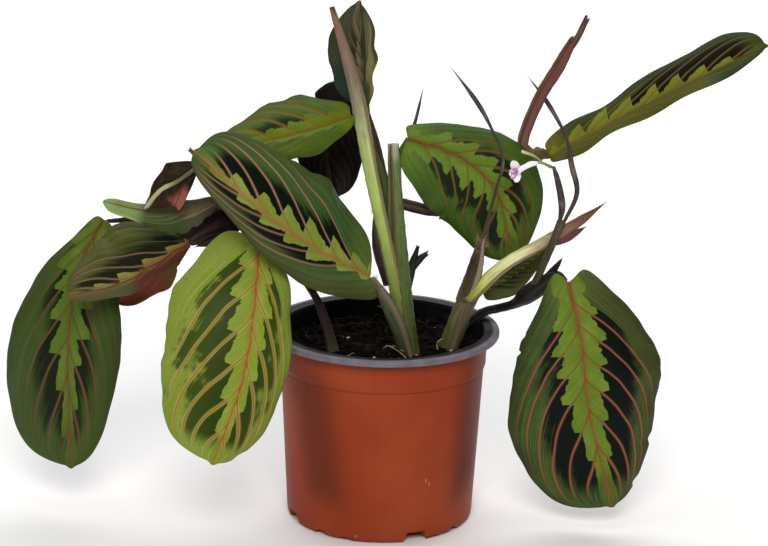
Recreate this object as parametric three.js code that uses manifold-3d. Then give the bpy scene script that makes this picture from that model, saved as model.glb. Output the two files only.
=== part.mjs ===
// Potted prayer plant (maranta) in a thin plastic nursery pot.
// Millimetres, +Z up, origin on the resting face under the middle of the pot, front towards -Y.
import * as THREE from 'three';
import { mergeVertices } from 'three/addons/utils/BufferGeometryUtils.js';
import Module from 'manifold-3d';

// Pot: a standard 12 cm nursery pot
const RIM_RADIUS = 60;
const POT_HEIGHT = 101;
const BASE_RADIUS = 48.2;
const NECK_RADIUS = 53.2;
const NECK_HEIGHT = 96;
const STEP_HEIGHT = 82;
const STEP_OUT = 0.5;
const WALL = 1.5;
const FLOOR_THICKNESS = 2;
const LIP_DROP = 2.8;
const LIP_THICKNESS = 1.4;
const RIM_ROUND = 0.8;
const NECK_FLARE = 2.4;
const CORNER = 2.6;
const POT_SEGMENTS = 48;
// Drainage gaps in the bottom edge: azimuth from the front, width and height
const NOTCH_REPEATS = 4;
const NOTCH_TURN = 360 / NOTCH_REPEATS;
const NOTCHES = [
  { azimuth: 21, width: 13, height: 5.6 },
  { azimuth: -6, width: 4, height: 2 },
  { azimuth: 48, width: 4, height: 2 },
  { azimuth: -23, width: 4.5, height: 2.6 },
];
const DRAIN_HOLES = 4;
const DRAIN_RADIUS = 4;
const DRAIN_CIRCLE = 26;

// Soil
const SOIL_TOP = 91.5;
const SOIL_LUMP = 1.1;
const SOIL_RINGS = 7;
const SOIL_SEGMENTS = 40;
const FACET_SHRINK = 0.998;
const CLEARANCE = 0.3;
const SOCKET_DEPTH = 20;
const SOCKET_SEGMENTS = 18;
const STUMP_SEGMENTS = 14;
const STUMP_TAPER = 1;
const STUMP_INSET = 0.4;

// Leaf blades
const BLADE = 0.9;
const FRAME_STEP = 0.09;
const TIP_MARGIN = 0.03;
const OVAL_POWER = 0.44;
const OVAL_TAPER = 0.1;
const LOBE_PLACE = 0.06;
const LOBE_POWER = 1.4;
const WAVE_HEIGHT = 1.2;
const WAVE_COUNT = 3;
const WAVE_START = [0.6, 0.15];
const LARGE_GRID = { along: 12, across: 10 };
const SMALL_GRID = { along: 9, across: 6 };

const COLOURS = {
  terracotta: 0xa34a2c,
  soil: 0x1d1612,
  stemGreen: 0x6d7a3f,
  stemOlive: 0x77733f,
  stemDark: 0x3a2a2b,
  leafGreen: 0x3f5f26,
  leafPale: 0x8b9a3c,
  leafDark: 0x2c2320,
  leafRed: 0x6b3a2b,
  leafGrey: 0x5d6f4a,
  petal: 0xf2e9ee,
};

// Each leaf: four points along the midrib from base to tip, the way its upper side faces at the
// base and at the tip, half widths of the left and right half at five even stations, the droop of
// each half in degrees, the length of the two lobes behind the base, and the bow of each half.
const LEAVES = {
  leaf_right_low: {
    midrib: [[94, -8, 129], [101, -18, 101], [106, -24, 65], [120, -22, 14]],
    face: [[0.05, -0.8, 0.6], [0.1, -1, 0]],
    left: [21, 35, 43, 41, 28], right: [10, 30, 37, 46, 52],
    droop: [[14, 18], [12, 14]], lobes: [9, 10], bow: 3, grid: LARGE_GRID, colour: 'leafGreen',
  },
  leaf_left_pale: {
    midrib: [[-62, -34, 156], [-63, -56, 131], [-68, -70, 94], [-82, -73, 52]],
    face: [[0.2, -0.8, 0.6], [0.15, -1, 0]],
    left: [18, 22, 24, 28, 30], right: [34, 42, 42, 43, 47],
    droop: [[22, 30], [14, 14]], lobes: [5, 8], bow: 3, grid: LARGE_GRID, colour: 'leafPale',
  },
  leaf_far_left: {
    midrib: [[-143, -2, 155], [-154, -10, 133], [-160, -18, 93], [-160, -16, 27]],
    face: [[-0.3, -0.75, 0.6], [-0.1, -1, 0]],
    left: [11, 19, 24, 29, 24], right: [12, 16, 29, 42, 56],
    droop: [[14, 24], [14, 20]], lobes: [2, 3], bow: 3, grid: LARGE_GRID, colour: 'leafGreen',
  },
  leaf_centre_left: {
    midrib: [[-7, -22, 134], [-31, -42, 152], [-58, -57, 175], [-91, -64, 206]],
    face: [[0, -0.75, 0.65], [-0.1, -0.8, 0.6]],
    left: [19, 20, 18, 16, 16], right: [44, 45, 37, 34, 36],
    droop: [[10, 50], [6, 14]], lobes: [13, 6], bow: 3, grid: LARGE_GRID, colour: 'leafGreen',
  },
  leaf_up_left: {
    midrib: [[-18.5, -1, 211], [-36, -4, 205], [-59, -6, 199], [-85, -4, 192]],
    face: [[0.1, -0.42, 0.9], [-0.1, -0.4, 0.9]],
    left: [10, 15, 17, 16, 10], right: [18, 30, 34, 34, 32],
    droop: [[8, 8], [4, 4]], lobes: [2, 4], bow: 2, grid: LARGE_GRID, colour: 'leafGreen',
  },
  leaf_back_dark: {
    midrib: [[-19, 30, 217], [-26, 38, 202], [-31, 42, 183], [-27, 36, 160]],
    face: [[0, 0.9, -0.3], [0, 1, 0.2]],
    left: [17, 18, 16, 17, 14], right: [8, 13, 17, 20, 19],
    droop: [[-10, -10], [-10, -10]], lobes: [4, 0], bow: 2, grid: SMALL_GRID, colour: 'leafDark',
  },
  leaf_top: {
    midrib: [[-10, 14, 210], [-12, 18, 226], [-14, 20, 244], [-15, 18, 265]],
    face: [[-0.1, -1, 0], [-0.1, -1, 0]],
    left: [7, 16, 17, 18, 10], right: [4, 8, 12, 15, 12],
    droop: [[8, 8], [-50, -50]], lobes: [0, 0], bow: 2, grid: SMALL_GRID, colour: 'leafGreen',
  },
  leaf_mid_right: {
    midrib: [[10.5, 0.5, 199.5], [36, -2, 192], [56, -4, 174], [65, -2, 139]],
    face: [[-0.1, -0.8, 0.6], [0.1, -1, 0]],
    left: [17, 17, 24, 26, 17], right: [26, 32, 31, 34, 26],
    droop: [[8, 16], [14, 14]], lobes: [6, 4], bow: 3, grid: LARGE_GRID, colour: 'leafGreen',
  },
  leaf_far_right: {
    midrib: [[84, 16, 188], [110, 14, 204], [148, 10, 227], [188, 4, 250]],
    face: [[-0.3, -0.25, 0.9], [-0.3, -0.2, 0.9]],
    left: [30, 19, 20, 28, 34], right: [24, 19, 16, 24, 22],
    droop: [[-12, -12], [-10, -10]], lobes: [4, 2], bow: 2, grid: LARGE_GRID, colour: 'leafGreen',
  },
  leaf_left_striped: {
    midrib: [[-98, -22, 150], [-114, -32, 141], [-131, -42, 133], [-155, -50, 129]],
    face: [[-0.2, -0.6, 0.8], [-0.2, -0.7, 0.7]],
    left: [10, 14, 15, 16, 14], right: [30, 36, 32, 28, 20],
    droop: [[105, 105], [0, -4]], lobes: [3, 3], bow: 2, grid: LARGE_GRID, colour: 'leafGreen',
  },
  leaf_left_under: {
    midrib: [[-99, -6, 144], [-112, 0, 134], [-125, 4, 122], [-139, 5, 110]],
    face: [[-0.1, 0.9, -0.2], [-0.1, 1, 0]],
    left: [4, 9, 13, 15, 16], right: [3, 7, 13, 12, 12],
    droop: [[-10, -10], [-10, -10]], lobes: [0, 0], bow: 2, grid: SMALL_GRID, colour: 'leafRed',
  },
  leaf_left_small: {
    midrib: [[-82, -20, 171], [-100, -24, 166], [-117, -26, 166], [-139, -24, 170]],
    face: [[-0.1, -0.6, 0.8], [-0.1, -0.6, 0.8]],
    left: [4, 11, 12, 7, 9], right: [7, 8, 5, 4, 6],
    droop: [[12, 12], [0, 0]], lobes: [0, 0], bow: 1, grid: SMALL_GRID, colour: 'leafGrey',
  },
  leaf_left_curled: {
    midrib: [[-92, -32, 192], [-102, -36, 185], [-111, -36, 180], [-118, -33, 171]],
    face: [[-0.1, 0.9, -0.3], [-0.1, 0.9, -0.3]],
    left: [7, 11, 9, 4, 3], right: [3, 7, 13, 12, 7],
    droop: [[-10, -10], [-10, -10]], lobes: [0, 0], bow: 1.5, grid: SMALL_GRID, colour: 'leafRed',
  },
  leaf_right_inner: {
    midrib: [[51, 14, 117], [63, 16, 126], [75, 16, 135], [88, 12, 146]],
    face: [[-0.1, -0.9, 0.4], [-0.1, -0.9, 0.4]],
    left: [4, 7, 7, 8, 5], right: [11, 13, 10, 7, 4],
    droop: [[40, 40], [5, 5]], lobes: [0, 3], bow: 1, grid: SMALL_GRID, colour: 'leafGreen',
  },
};

// Stems of one shoot grow from one another, so each shoot is one body. A stem is its path, its
// radii at even stations, and the number of sides and steps of its tube.
const SHOOTS = {
  shoot_centre: {
    colour: 'stemGreen',
    foot: { centre: [14.2, -14.8], radius: 7.1 },
    stems: [
      {
        path: [[13, -16, 88], [8, -18, 105], [2, -19, 119], [-5.6, -19.4, 132]],
        radii: [4, 4, 3.4, 1.3],
      },
      { path: [[15, -14, 88], [10, -10, 118], [6, -5, 154], [3, 2, 197]], radii: [5, 4.8, 4.5, 3] },
      { path: [[6, 2, 175], [6, 5, 188], [10.4, 2.2, 199.3]], radii: [2, 2, 1.3] },
      {
        path: [[13, -14, 95], [3, -11, 138], [-7, -4, 180], [-16, 3, 223], [-29, 8, 265]],
        radii: [4.2, 3.2, 3.4, 3.5, 1.3], steps: 14,
      },
      { path: [[8, -4, 138], [0, 8, 171], [-5, 13, 193], [-10, 14.3, 209.6]], radii: [2.8, 2.4, 2, 1.2] },
      { path: [[7, -2, 142], [-4, 7, 184], [-17.9, 0.3, 210.6]], radii: [2.4, 2, 1] },
      { path: [[1, 6, 161], [-9, 26, 198], [-17.8, 29.4, 214.6]], radii: [2, 1.8, 1] },
      { path: [[2, -10, 126], [-3, -8, 145], [-6, -5, 163]], radii: [2.4, 3.2, 0.6] },
      { path: [[11, -3, 120], [14, 2, 132], [17, 4, 143]], radii: [2.6, 2.4, 0.8] },
      { path: [[13, 1, 130], [18, 4, 136], [22, 5, 139]], radii: [2, 1.9, 1.2] },
      {
        path: [[7, -2, 167], [28, 12, 160], [54, 24, 163], [69, 24, 178], [78, 17, 191]],
        radii: [3, 3, 2.8, 2.8, 3.2], steps: 12,
      },
      { path: [[74, 15, 188], [79, 15, 190], [82.9, 15.6, 188.4]], radii: [3.2, 3.2, 1.1] },
      {
        path: [[76, 16, 187], [69, 10, 197], [76, 2, 222], [85, 0, 239], [91, 0, 251]],
        radii: [3.6, 3.4, 3.4, 3.5, 2.6], steps: 12,
      },
      { path: [[88, 0, 244], [94, 0, 254], [98, 0, 263]], radii: [1.8, 1.7, 1.5] },
      {
        path: [[6, 4, 182], [9, 10, 192], [14, 14, 205], [18, 14, 224]],
        radii: [1.2, 1.1, 1.1, 0.4], sides: 5,
      },
    ],
  },
  shoot_right: {
    colour: 'stemOlive',
    foot: { centre: [33.2, -5.4], radius: 6.3 },
    stems: [
      { path: [[32, -6, 88], [38, -4, 105], [43, -3, 120]], radii: [5, 5, 4.2] },
      { path: [[41, -3, 116], [46, -8, 135], [49, -14, 153]], radii: [4.2, 3.8, 1.5] },
      {
        path: [[43, -5, 118], [60, -9, 137], [79, -9, 149], [96, -6, 159], [112, -2, 170]],
        radii: [3.6, 3.1, 2.8, 2.5, 0.6], steps: 12,
      },
      { path: [[44, 0, 112], [47, 9, 113.5], [49.8, 13.2, 115.9]], radii: [2.4, 1.9, 1] },
      { path: [[83, -8, 149], [92, -7, 152], [102, -6, 158]], radii: [1.6, 2.3, 0.4] },
      {
        path: [[49, -14, 152], [55, -19, 179], [58, -19, 195], [52, -19, 210], [44, -19, 224], [30, -19, 242]],
        radii: [1.4, 1.2, 1.1, 1, 1.3, 0.4], sides: 5, steps: 16,
      },
      { path: [[75, 1, 119], [81, -5, 137], [85, -12, 151], [89, -9, 161]], radii: [2, 1.8, 1.8, 2.2] },
      {
        path: [[88, -8, 160], [89, -8, 169], [86, -10, 183], [83.8, -11.7, 189.6]],
        radii: [1, 1.9, 1.6, 1], sides: 5,
      },
      {
        path: [[90, -9, 160], [96, -10, 176], [93, -8, 190], [90, 0, 203], [81, 8, 218], [70, 9, 232]],
        radii: [1, 1.4, 1.6, 0.9, 1.3, 0.4], sides: 5, steps: 16,
      },
      {
        path: [
          [33, -1, 95], [41, 8, 99], [48, 14, 103], [54, 18, 105], [60, 19, 106.2],
          [68, 12, 111], [75, 2, 120], [87, -2, 130], [92.5, -6, 129.5],
        ],
        radii: [3, 2.7, 2.4, 2.3, 2.3, 2.6, 4, 2.6, 1.3], steps: 18,
      },
      { path: [[78, 1, 123], [86, 0, 132], [91, -1, 140]], radii: [2, 2, 0.4], sides: 5 },
    ],
  },
  shoot_left: {
    colour: 'stemDark',
    foot: { centre: [-25, -16], radius: 4.1 },
    stems: [
      {
        path: [[-24.5, -15.8, 88], [-29, -18, 107], [-37, -16, 125], [-58, -8, 147], [-77, -6, 162]],
        radii: [3.4, 2.8, 2, 2.2, 2.6], steps: 14,
      },
      {
        path: [[-75, -7, 160.5], [-99, -8, 160], [-119, -4, 157], [-141.3, -1, 154.2]],
        radii: [2.6, 2.4, 2, 1],
      },
      { path: [[-73, -8, 159.5], [-86, -14, 156], [-97.2, -21.2, 150.5]], radii: [3, 3.2, 1.3] },
      { path: [[-74, -6, 159], [-86, -6, 149], [-98, -5.5, 144.5]], radii: [2.4, 2.4, 1.2] },
      { path: [[-62, -8, 151], [-62, -22, 157], [-62, -32.5, 156.5]], radii: [2.2, 2, 1.2] },
      { path: [[-75, -7, 161], [-79, -14, 167], [-81.4, -19, 171]], radii: [2, 1.8, 1.2] },
      {
        path: [[-73, -6, 160], [-80, -22, 177], [-85, -31, 187], [-90.7, -31.5, 192]],
        radii: [1.8, 1.6, 1.5, 0.9],
      },
    ],
  },
};

// Flower: pale stalks from the spikelet to three petals round a small cup
const FLOWER = {
  colour: 'petal',
  stems: [
    {
      path: [[82.6, -12.6, 190], [77, -14, 192.5], [70, -15, 191.5], [66, -16.5, 189]],
      radii: [0.8, 0.7, 0.7, 1.6], sides: 5,
    },
    { path: [[79, -13.5, 191.6], [74, -11, 195], [68, -12, 197.5]], radii: [0.6, 0.6, 0.9], sides: 5 },
    { path: [[66.5, -16.3, 189.4], [64.4, -17.2, 188.2]], radii: [2, 1.4], sides: 6, steps: 2 },
  ],
  petals: [
    { reach: [-3.5, -3, 4.5], width: 3.4 },
    { reach: [-5.5, -2.5, -1], width: 3.4 },
    { reach: [-1.5, -3.5, -4.6], width: 3.4 },
  ],
  cup: [65.4, -16.8, 188.8],
};
const PETAL_THICKNESS = 1;
const PETAL_CUP = 0.4;
const PETAL_GRID = { along: 5, across: 4 };

const wasm = await Module();
wasm.setup();

const radians = THREE.MathUtils.degToRad;
const vector = (values) => new THREE.Vector3(...values);

// Booleans
function toSolid(geometry) {
  const bare = geometry.clone();
  bare.deleteAttribute('normal');
  bare.deleteAttribute('uv');
  const merged = mergeVertices(bare, 1e-4);
  const mesh = new wasm.Mesh({
    numProp: 3,
    vertProperties: new Float32Array(merged.attributes.position.array),
    triVerts: new Uint32Array(merged.index.array),
  });
  return new wasm.Manifold(mesh);
}

function toGeometry(solid) {
  const mesh = solid.getMesh();
  const geometry = new THREE.BufferGeometry();
  geometry.setAttribute('position', new THREE.BufferAttribute(new Float32Array(mesh.vertProperties), 3));
  geometry.setIndex(new THREE.BufferAttribute(new Uint32Array(mesh.triVerts), 1));
  return geometry;
}

function join(geometries) {
  return toGeometry(geometries.map(toSolid).reduce((whole, solid) => whole.add(solid)));
}

function cut(geometry, tools) {
  return toGeometry(tools.map(toSolid).reduce((whole, solid) => whole.subtract(solid), toSolid(geometry)));
}

// A value that runs smoothly through even stations
function profile(values) {
  const curve = smoothCurve(values.map((value) => [value, 0, 0]));
  return (t) => curve.getPoint(t).x;
}

function smoothCurve(points) {
  return new THREE.CatmullRomCurve3(points.map(vector), false, 'catmullrom');
}

// A closed solid from a grid of rows: its two faces lie half a thickness to either side
function shell(rows, thickness) {
  const along = rows.length;
  const across = rows[0].length;
  const positions = [];
  const normalAt = (i, j) => {
    const down = rows[Math.min(i + 1, along - 1)][j].clone().sub(rows[Math.max(i - 1, 0)][j]);
    const over = rows[i][Math.min(j + 1, across - 1)].clone().sub(rows[i][Math.max(j - 1, 0)]);
    return down.cross(over).normalize();
  };
  for (const side of [0.5, -0.5]) {
    for (let i = 0; i < along; i += 1) {
      for (let j = 0; j < across; j += 1) {
        const point = rows[i][j].clone().addScaledVector(normalAt(i, j), -side * thickness);
        positions.push(point.x, point.y, point.z);
      }
    }
  }
  const count = along * across;
  const top = (i, j) => i * across + j;
  const bottom = (i, j) => count + i * across + j;
  const triangles = [];
  const quad = (a, b, c, d) => triangles.push(a, b, c, a, c, d);
  for (let i = 0; i < along - 1; i += 1) {
    for (let j = 0; j < across - 1; j += 1) {
      quad(top(i, j), top(i, j + 1), top(i + 1, j + 1), top(i + 1, j));
      triangles.push(bottom(i, j), bottom(i + 1, j + 1), bottom(i, j + 1));
      triangles.push(bottom(i, j), bottom(i + 1, j), bottom(i + 1, j + 1));
    }
  }
  const last = across - 1;
  for (let i = 0; i < along - 1; i += 1) {
    quad(top(i, 0), top(i + 1, 0), bottom(i + 1, 0), bottom(i, 0));
    quad(top(i + 1, last), top(i, last), bottom(i, last), bottom(i + 1, last));
  }
  for (let j = 0; j < last; j += 1) {
    quad(top(0, j + 1), top(0, j), bottom(0, j), bottom(0, j + 1));
    quad(top(along - 1, j), top(along - 1, j + 1), bottom(along - 1, j + 1), bottom(along - 1, j));
  }
  const geometry = new THREE.BufferGeometry();
  geometry.setAttribute('position', new THREE.Float32BufferAttribute(positions, 3));
  geometry.setIndex(triangles);
  return geometry;
}

// Half a leaf is an ellipse whose half width varies, drooping from the midrib and slightly bowed
function leafPoint(leaf, t, w) {
  const side = w >= 0 ? 1 : 0;
  const sign = w >= 0 ? 1 : -1;
  const q = Math.abs(w);
  const spine = leaf.curve.getPoint(t);
  const tangent = leaf.curve.getPoint(Math.min(t + FRAME_STEP, 1));
  tangent.sub(leaf.curve.getPoint(Math.max(t - FRAME_STEP, 0))).normalize();
  const up = vector(leaf.face[0]).lerp(vector(leaf.face[1]), t);
  up.addScaledVector(tangent, -up.dot(tangent)).normalize();
  const across = new THREE.Vector3().crossVectors(tangent, up);
  const oval = (4 * t * (1 - t)) ** (OVAL_POWER - OVAL_TAPER * t);
  const halfWidth = oval * leaf.widths[side](t);
  const [droopBase, droopTip] = leaf.droop[side];
  const angle = radians(THREE.MathUtils.lerp(droopBase, droopTip, t));
  const outward = across.clone().multiplyScalar(sign * Math.cos(angle)).addScaledVector(up, -Math.sin(angle));
  const normal = up.clone().multiplyScalar(Math.cos(angle)).addScaledVector(across, sign * Math.sin(angle));
  const lobePlace = t / LOBE_PLACE;
  const lobe = leaf.lobes[side] * q ** LOBE_POWER * lobePlace * Math.exp(1 - lobePlace);
  const bow = leaf.bow * 4 * q * (1 - q) * oval;
  const phase = 2 * Math.PI * (WAVE_COUNT * t + WAVE_START[side]);
  const wave = WAVE_HEIGHT * q ** 3 * Math.sin(phase) * oval;
  return spine
    .addScaledVector(outward, halfWidth * q)
    .addScaledVector(normal, bow + wave)
    .addScaledVector(tangent, -lobe);
}

function makeLeaf(spec) {
  const widths = [profile(spec.left), profile(spec.right)];
  const leaf = { ...spec, curve: smoothCurve(spec.midrib), widths };
  const { along, across } = spec.grid;
  const rows = [];
  for (let i = 0; i <= along; i += 1) {
    const turn = THREE.MathUtils.lerp(TIP_MARGIN, 1 - TIP_MARGIN, i / along);
    const t = (1 - Math.cos(Math.PI * turn)) / 2;
    const row = [];
    for (let j = 0; j <= across; j += 1) {
      row.push(leafPoint(leaf, t, -1 + (2 * j) / across));
    }
    rows.push(row);
  }
  return shell(rows, BLADE);
}

// A closed tube with a radius that varies along its path
function makeTube({ path, radii, sides = 7, steps = 6 }) {
  const curve = smoothCurve(path);
  const radius = profile(radii);
  const positions = [];
  const triangles = [];
  const frames = curve.computeFrenetFrames(steps, false);
  for (let i = 0; i <= steps; i += 1) {
    const t = i / steps;
    const centre = curve.getPoint(t);
    const tangent = curve.getTangent(t);
    const normal = frames.normals[i].clone();
    normal.addScaledVector(tangent, -normal.dot(tangent)).normalize();
    const binormal = new THREE.Vector3().crossVectors(tangent, normal);
    for (let k = 0; k < sides; k += 1) {
      const angle = (2 * Math.PI * k) / sides;
      const point = centre.clone()
        .addScaledVector(normal, radius(t) * Math.cos(angle))
        .addScaledVector(binormal, radius(t) * Math.sin(angle));
      positions.push(point.x, point.y, point.z);
    }
  }
  for (let i = 0; i < steps; i += 1) {
    for (let k = 0; k < sides; k += 1) {
      const a = i * sides + k;
      const b = i * sides + ((k + 1) % sides);
      triangles.push(a, b, b + sides, a, b + sides, a + sides);
    }
  }
  const last = steps * sides;
  for (let k = 1; k < sides - 1; k += 1) {
    triangles.push(0, k + 1, k);
    triangles.push(last, last + k, last + k + 1);
  }
  const geometry = new THREE.BufferGeometry();
  geometry.setAttribute('position', new THREE.Float32BufferAttribute(positions, 3));
  geometry.setIndex(triangles);
  return geometry;
}

function upright(geometry, x, y, bottom, height) {
  return geometry.rotateX(Math.PI / 2).translate(x, y, bottom + height / 2);
}

// The foot of a shoot stands in a plain round socket in the soil
function makeShoot({ stems, foot }) {
  const bottom = SOIL_TOP - SOCKET_DEPTH + CLEARANCE;
  const height = SOCKET_DEPTH - 1;
  const radius = foot.radius - STUMP_INSET;
  const stump = new THREE.CylinderGeometry(radius, radius - STUMP_TAPER, height, STUMP_SEGMENTS);
  return join([...stems.map(makeTube), upright(stump, ...foot.centre, bottom, height)]);
}

function makeSocketCutter({ foot }) {
  const height = 2 * SOCKET_DEPTH;
  const radius = foot.radius + CLEARANCE;
  const geometry = new THREE.CylinderGeometry(radius, radius, height, SOCKET_SEGMENTS);
  return upright(geometry, ...foot.centre, SOIL_TOP - SOCKET_DEPTH, height);
}

function bodyRadius(z) {
  return THREE.MathUtils.mapLinear(z, 0, NECK_HEIGHT, BASE_RADIUS, NECK_RADIUS);
}

function makePot() {
  const lipBottom = POT_HEIGHT - LIP_DROP;
  const outline = [
    [0, 0],
    [BASE_RADIUS - CORNER, 0],
    [BASE_RADIUS - CORNER * 0.3, CORNER * 0.3],
    [bodyRadius(CORNER), CORNER],
    [bodyRadius(STEP_HEIGHT - 0.6), STEP_HEIGHT - 0.6],
    [bodyRadius(STEP_HEIGHT) + STEP_OUT, STEP_HEIGHT],
    [NECK_RADIUS + STEP_OUT, NECK_HEIGHT],
    [NECK_RADIUS + STEP_OUT + 0.5, POT_HEIGHT - LIP_THICKNESS],
    [RIM_RADIUS - LIP_THICKNESS, POT_HEIGHT - LIP_THICKNESS],
    [RIM_RADIUS - LIP_THICKNESS, lipBottom],
    [RIM_RADIUS - 0.2, lipBottom],
    [RIM_RADIUS, lipBottom + 1],
    [RIM_RADIUS, POT_HEIGHT - RIM_ROUND],
    [RIM_RADIUS - RIM_ROUND, POT_HEIGHT],
    [NECK_RADIUS - WALL + NECK_FLARE / 2, POT_HEIGHT],
    [NECK_RADIUS - WALL, POT_HEIGHT - NECK_FLARE],
    [BASE_RADIUS - WALL, FLOOR_THICKNESS],
    [0, FLOOR_THICKNESS],
  ];
  const body = new THREE.LatheGeometry(outline.map(([r, z]) => new THREE.Vector2(r, z)), POT_SEGMENTS);
  body.rotateX(Math.PI / 2);
  return cut(body, [...notchCutters(), ...drainCutters()]);
}

function notchCutters() {
  const depth = 10;
  const cutters = [];
  for (let repeat = 0; repeat < NOTCH_REPEATS; repeat += 1) {
    for (const { azimuth, width, height } of NOTCHES) {
      const cutter = new THREE.BoxGeometry(width, depth, 2 * height);
      cutter.translate(0, -BASE_RADIUS, 0);
      cutter.rotateZ(radians(azimuth + repeat * NOTCH_TURN));
      cutters.push(cutter);
    }
  }
  return cutters;
}

function drainCutters() {
  const cutters = [];
  for (let hole = 0; hole < DRAIN_HOLES; hole += 1) {
    const angle = (2 * Math.PI * hole) / DRAIN_HOLES + Math.PI / 4;
    const cutter = new THREE.CylinderGeometry(DRAIN_RADIUS, DRAIN_RADIUS, 3 * FLOOR_THICKNESS, 16);
    const [x, y] = [DRAIN_CIRCLE * Math.cos(angle), DRAIN_CIRCLE * Math.sin(angle)];
    cutters.push(upright(cutter, x, y, -FLOOR_THICKNESS, 3 * FLOOR_THICKNESS));
  }
  return cutters;
}

function lump(x, y) {
  const wave = Math.sin(x * 0.31 + 1.2) * Math.cos(y * 0.27) + 0.6 * Math.sin(x * 0.13 - y * 0.41 + 2);
  return SOIL_TOP + SOIL_LUMP * wave * 0.6;
}

function makeSoil() {
  const bottom = FLOOR_THICKNESS + CLEARANCE;
  const innerRadius = (z) => {
    const height = (z - FLOOR_THICKNESS) / (POT_HEIGHT - NECK_FLARE - FLOOR_THICKNESS);
    const wall = THREE.MathUtils.lerp(BASE_RADIUS, NECK_RADIUS, height);
    return (wall - WALL - CLEARANCE) * FACET_SHRINK;
  };
  const topRadius = innerRadius(SOIL_TOP - 2);
  const positions = [0, 0, lump(0, 0)];
  const ring = (r, z) => {
    for (let k = 0; k < SOIL_SEGMENTS; k += 1) {
      const angle = (2 * Math.PI * k) / SOIL_SEGMENTS;
      const [x, y] = [r * Math.cos(angle), r * Math.sin(angle)];
      positions.push(x, y, z ?? lump(x, y));
    }
  };
  for (let i = 1; i <= SOIL_RINGS; i += 1) {
    ring((topRadius * i) / SOIL_RINGS);
  }
  ring(innerRadius(bottom), bottom);
  positions.push(0, 0, bottom);
  const triangles = [];
  for (let k = 0; k < SOIL_SEGMENTS; k += 1) {
    const next = (k + 1) % SOIL_SEGMENTS;
    triangles.push(0, 1 + k, 1 + next);
    for (let i = 0; i < SOIL_RINGS; i += 1) {
      const inner = 1 + i * SOIL_SEGMENTS;
      const outer = inner + SOIL_SEGMENTS;
      triangles.push(inner + k, outer + k, outer + next, inner + k, outer + next, inner + next);
    }
    const lowest = 1 + SOIL_RINGS * SOIL_SEGMENTS;
    triangles.push(lowest + k, positions.length / 3 - 1, lowest + next);
  }
  const body = new THREE.BufferGeometry();
  body.setAttribute('position', new THREE.Float32BufferAttribute(positions, 3));
  body.setIndex(triangles);
  return cut(body, Object.values(SHOOTS).map(makeSocketCutter));
}

function makePetal({ reach, width }) {
  const start = vector(FLOWER.cup);
  const axis = vector(reach);
  const side = new THREE.Vector3(0, -1, 0).cross(axis).normalize();
  const rows = [];
  for (let i = 0; i <= PETAL_GRID.along; i += 1) {
    const t = i / PETAL_GRID.along;
    const half = (width / 2) * (0.35 + 0.65 * Math.sin(Math.PI * (0.15 + 0.75 * t)));
    const row = [];
    for (let j = 0; j <= PETAL_GRID.across; j += 1) {
      const w = (2 * j) / PETAL_GRID.across - 1;
      const point = start.clone().addScaledVector(axis, t).addScaledVector(side, half * w);
      point.y += PETAL_CUP * w * w;
      row.push(point);
    }
    rows.push(row);
  }
  return shell(rows, PETAL_THICKNESS);
}

function makeFlower() {
  return join([...FLOWER.stems.map(makeTube), ...FLOWER.petals.map(makePetal)]);
}

function addPart(name, geometry, colour, roughness) {
  const material = new THREE.MeshStandardMaterial({ color: COLOURS[colour], roughness, metalness: 0 });
  const mesh = new THREE.Mesh(geometry, material);
  mesh.name = name;
  plant.add(mesh);
}

const plant = new THREE.Group();
addPart('pot', makePot(), 'terracotta', 0.45);
addPart('soil', makeSoil(), 'soil', 0.95);
for (const [name, shoot] of Object.entries(SHOOTS)) {
  addPart(name, makeShoot(shoot), shoot.colour, 0.5);
}
for (const [name, leaf] of Object.entries(LEAVES)) {
  addPart(name, makeLeaf(leaf), leaf.colour, 0.5);
}
addPart('flower', makeFlower(), FLOWER.colour, 0.6);

export default plant;
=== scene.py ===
"""Looks of a potted prayer plant: patterned leaves, sheathed stems, a small flower, soil and a thin pot."""
import bisect
import math
import random

import bmesh
import bpy
import numpy as np
from mathutils import Matrix, Vector, noise


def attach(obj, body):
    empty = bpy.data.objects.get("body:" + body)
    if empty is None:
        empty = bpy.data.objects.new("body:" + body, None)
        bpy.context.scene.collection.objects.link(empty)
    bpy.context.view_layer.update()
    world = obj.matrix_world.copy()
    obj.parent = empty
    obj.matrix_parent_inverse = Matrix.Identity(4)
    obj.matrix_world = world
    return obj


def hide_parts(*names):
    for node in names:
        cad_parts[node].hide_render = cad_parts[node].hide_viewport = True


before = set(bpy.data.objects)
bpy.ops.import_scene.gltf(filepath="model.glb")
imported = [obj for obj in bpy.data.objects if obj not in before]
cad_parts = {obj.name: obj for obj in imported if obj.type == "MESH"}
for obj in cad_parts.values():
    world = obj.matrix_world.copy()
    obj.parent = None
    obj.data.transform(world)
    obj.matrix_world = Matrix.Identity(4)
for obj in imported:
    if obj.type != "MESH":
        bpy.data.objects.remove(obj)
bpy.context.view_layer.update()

MM = 0.001

# Camera: the photograph's frame is 768 x 546, and its lens is given in that frame's pixels
FRAME_WIDTH_PX = 768
FOCAL_PX = 2500
SENSOR_MM = 36
CAMERA_MM = (-0.057, -1228.81, 486.43)
CAMERA_PITCH = 16.2
CAMERA_ROLL = 1.2
CAMERA_CLIP = (0.05, 50)

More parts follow.
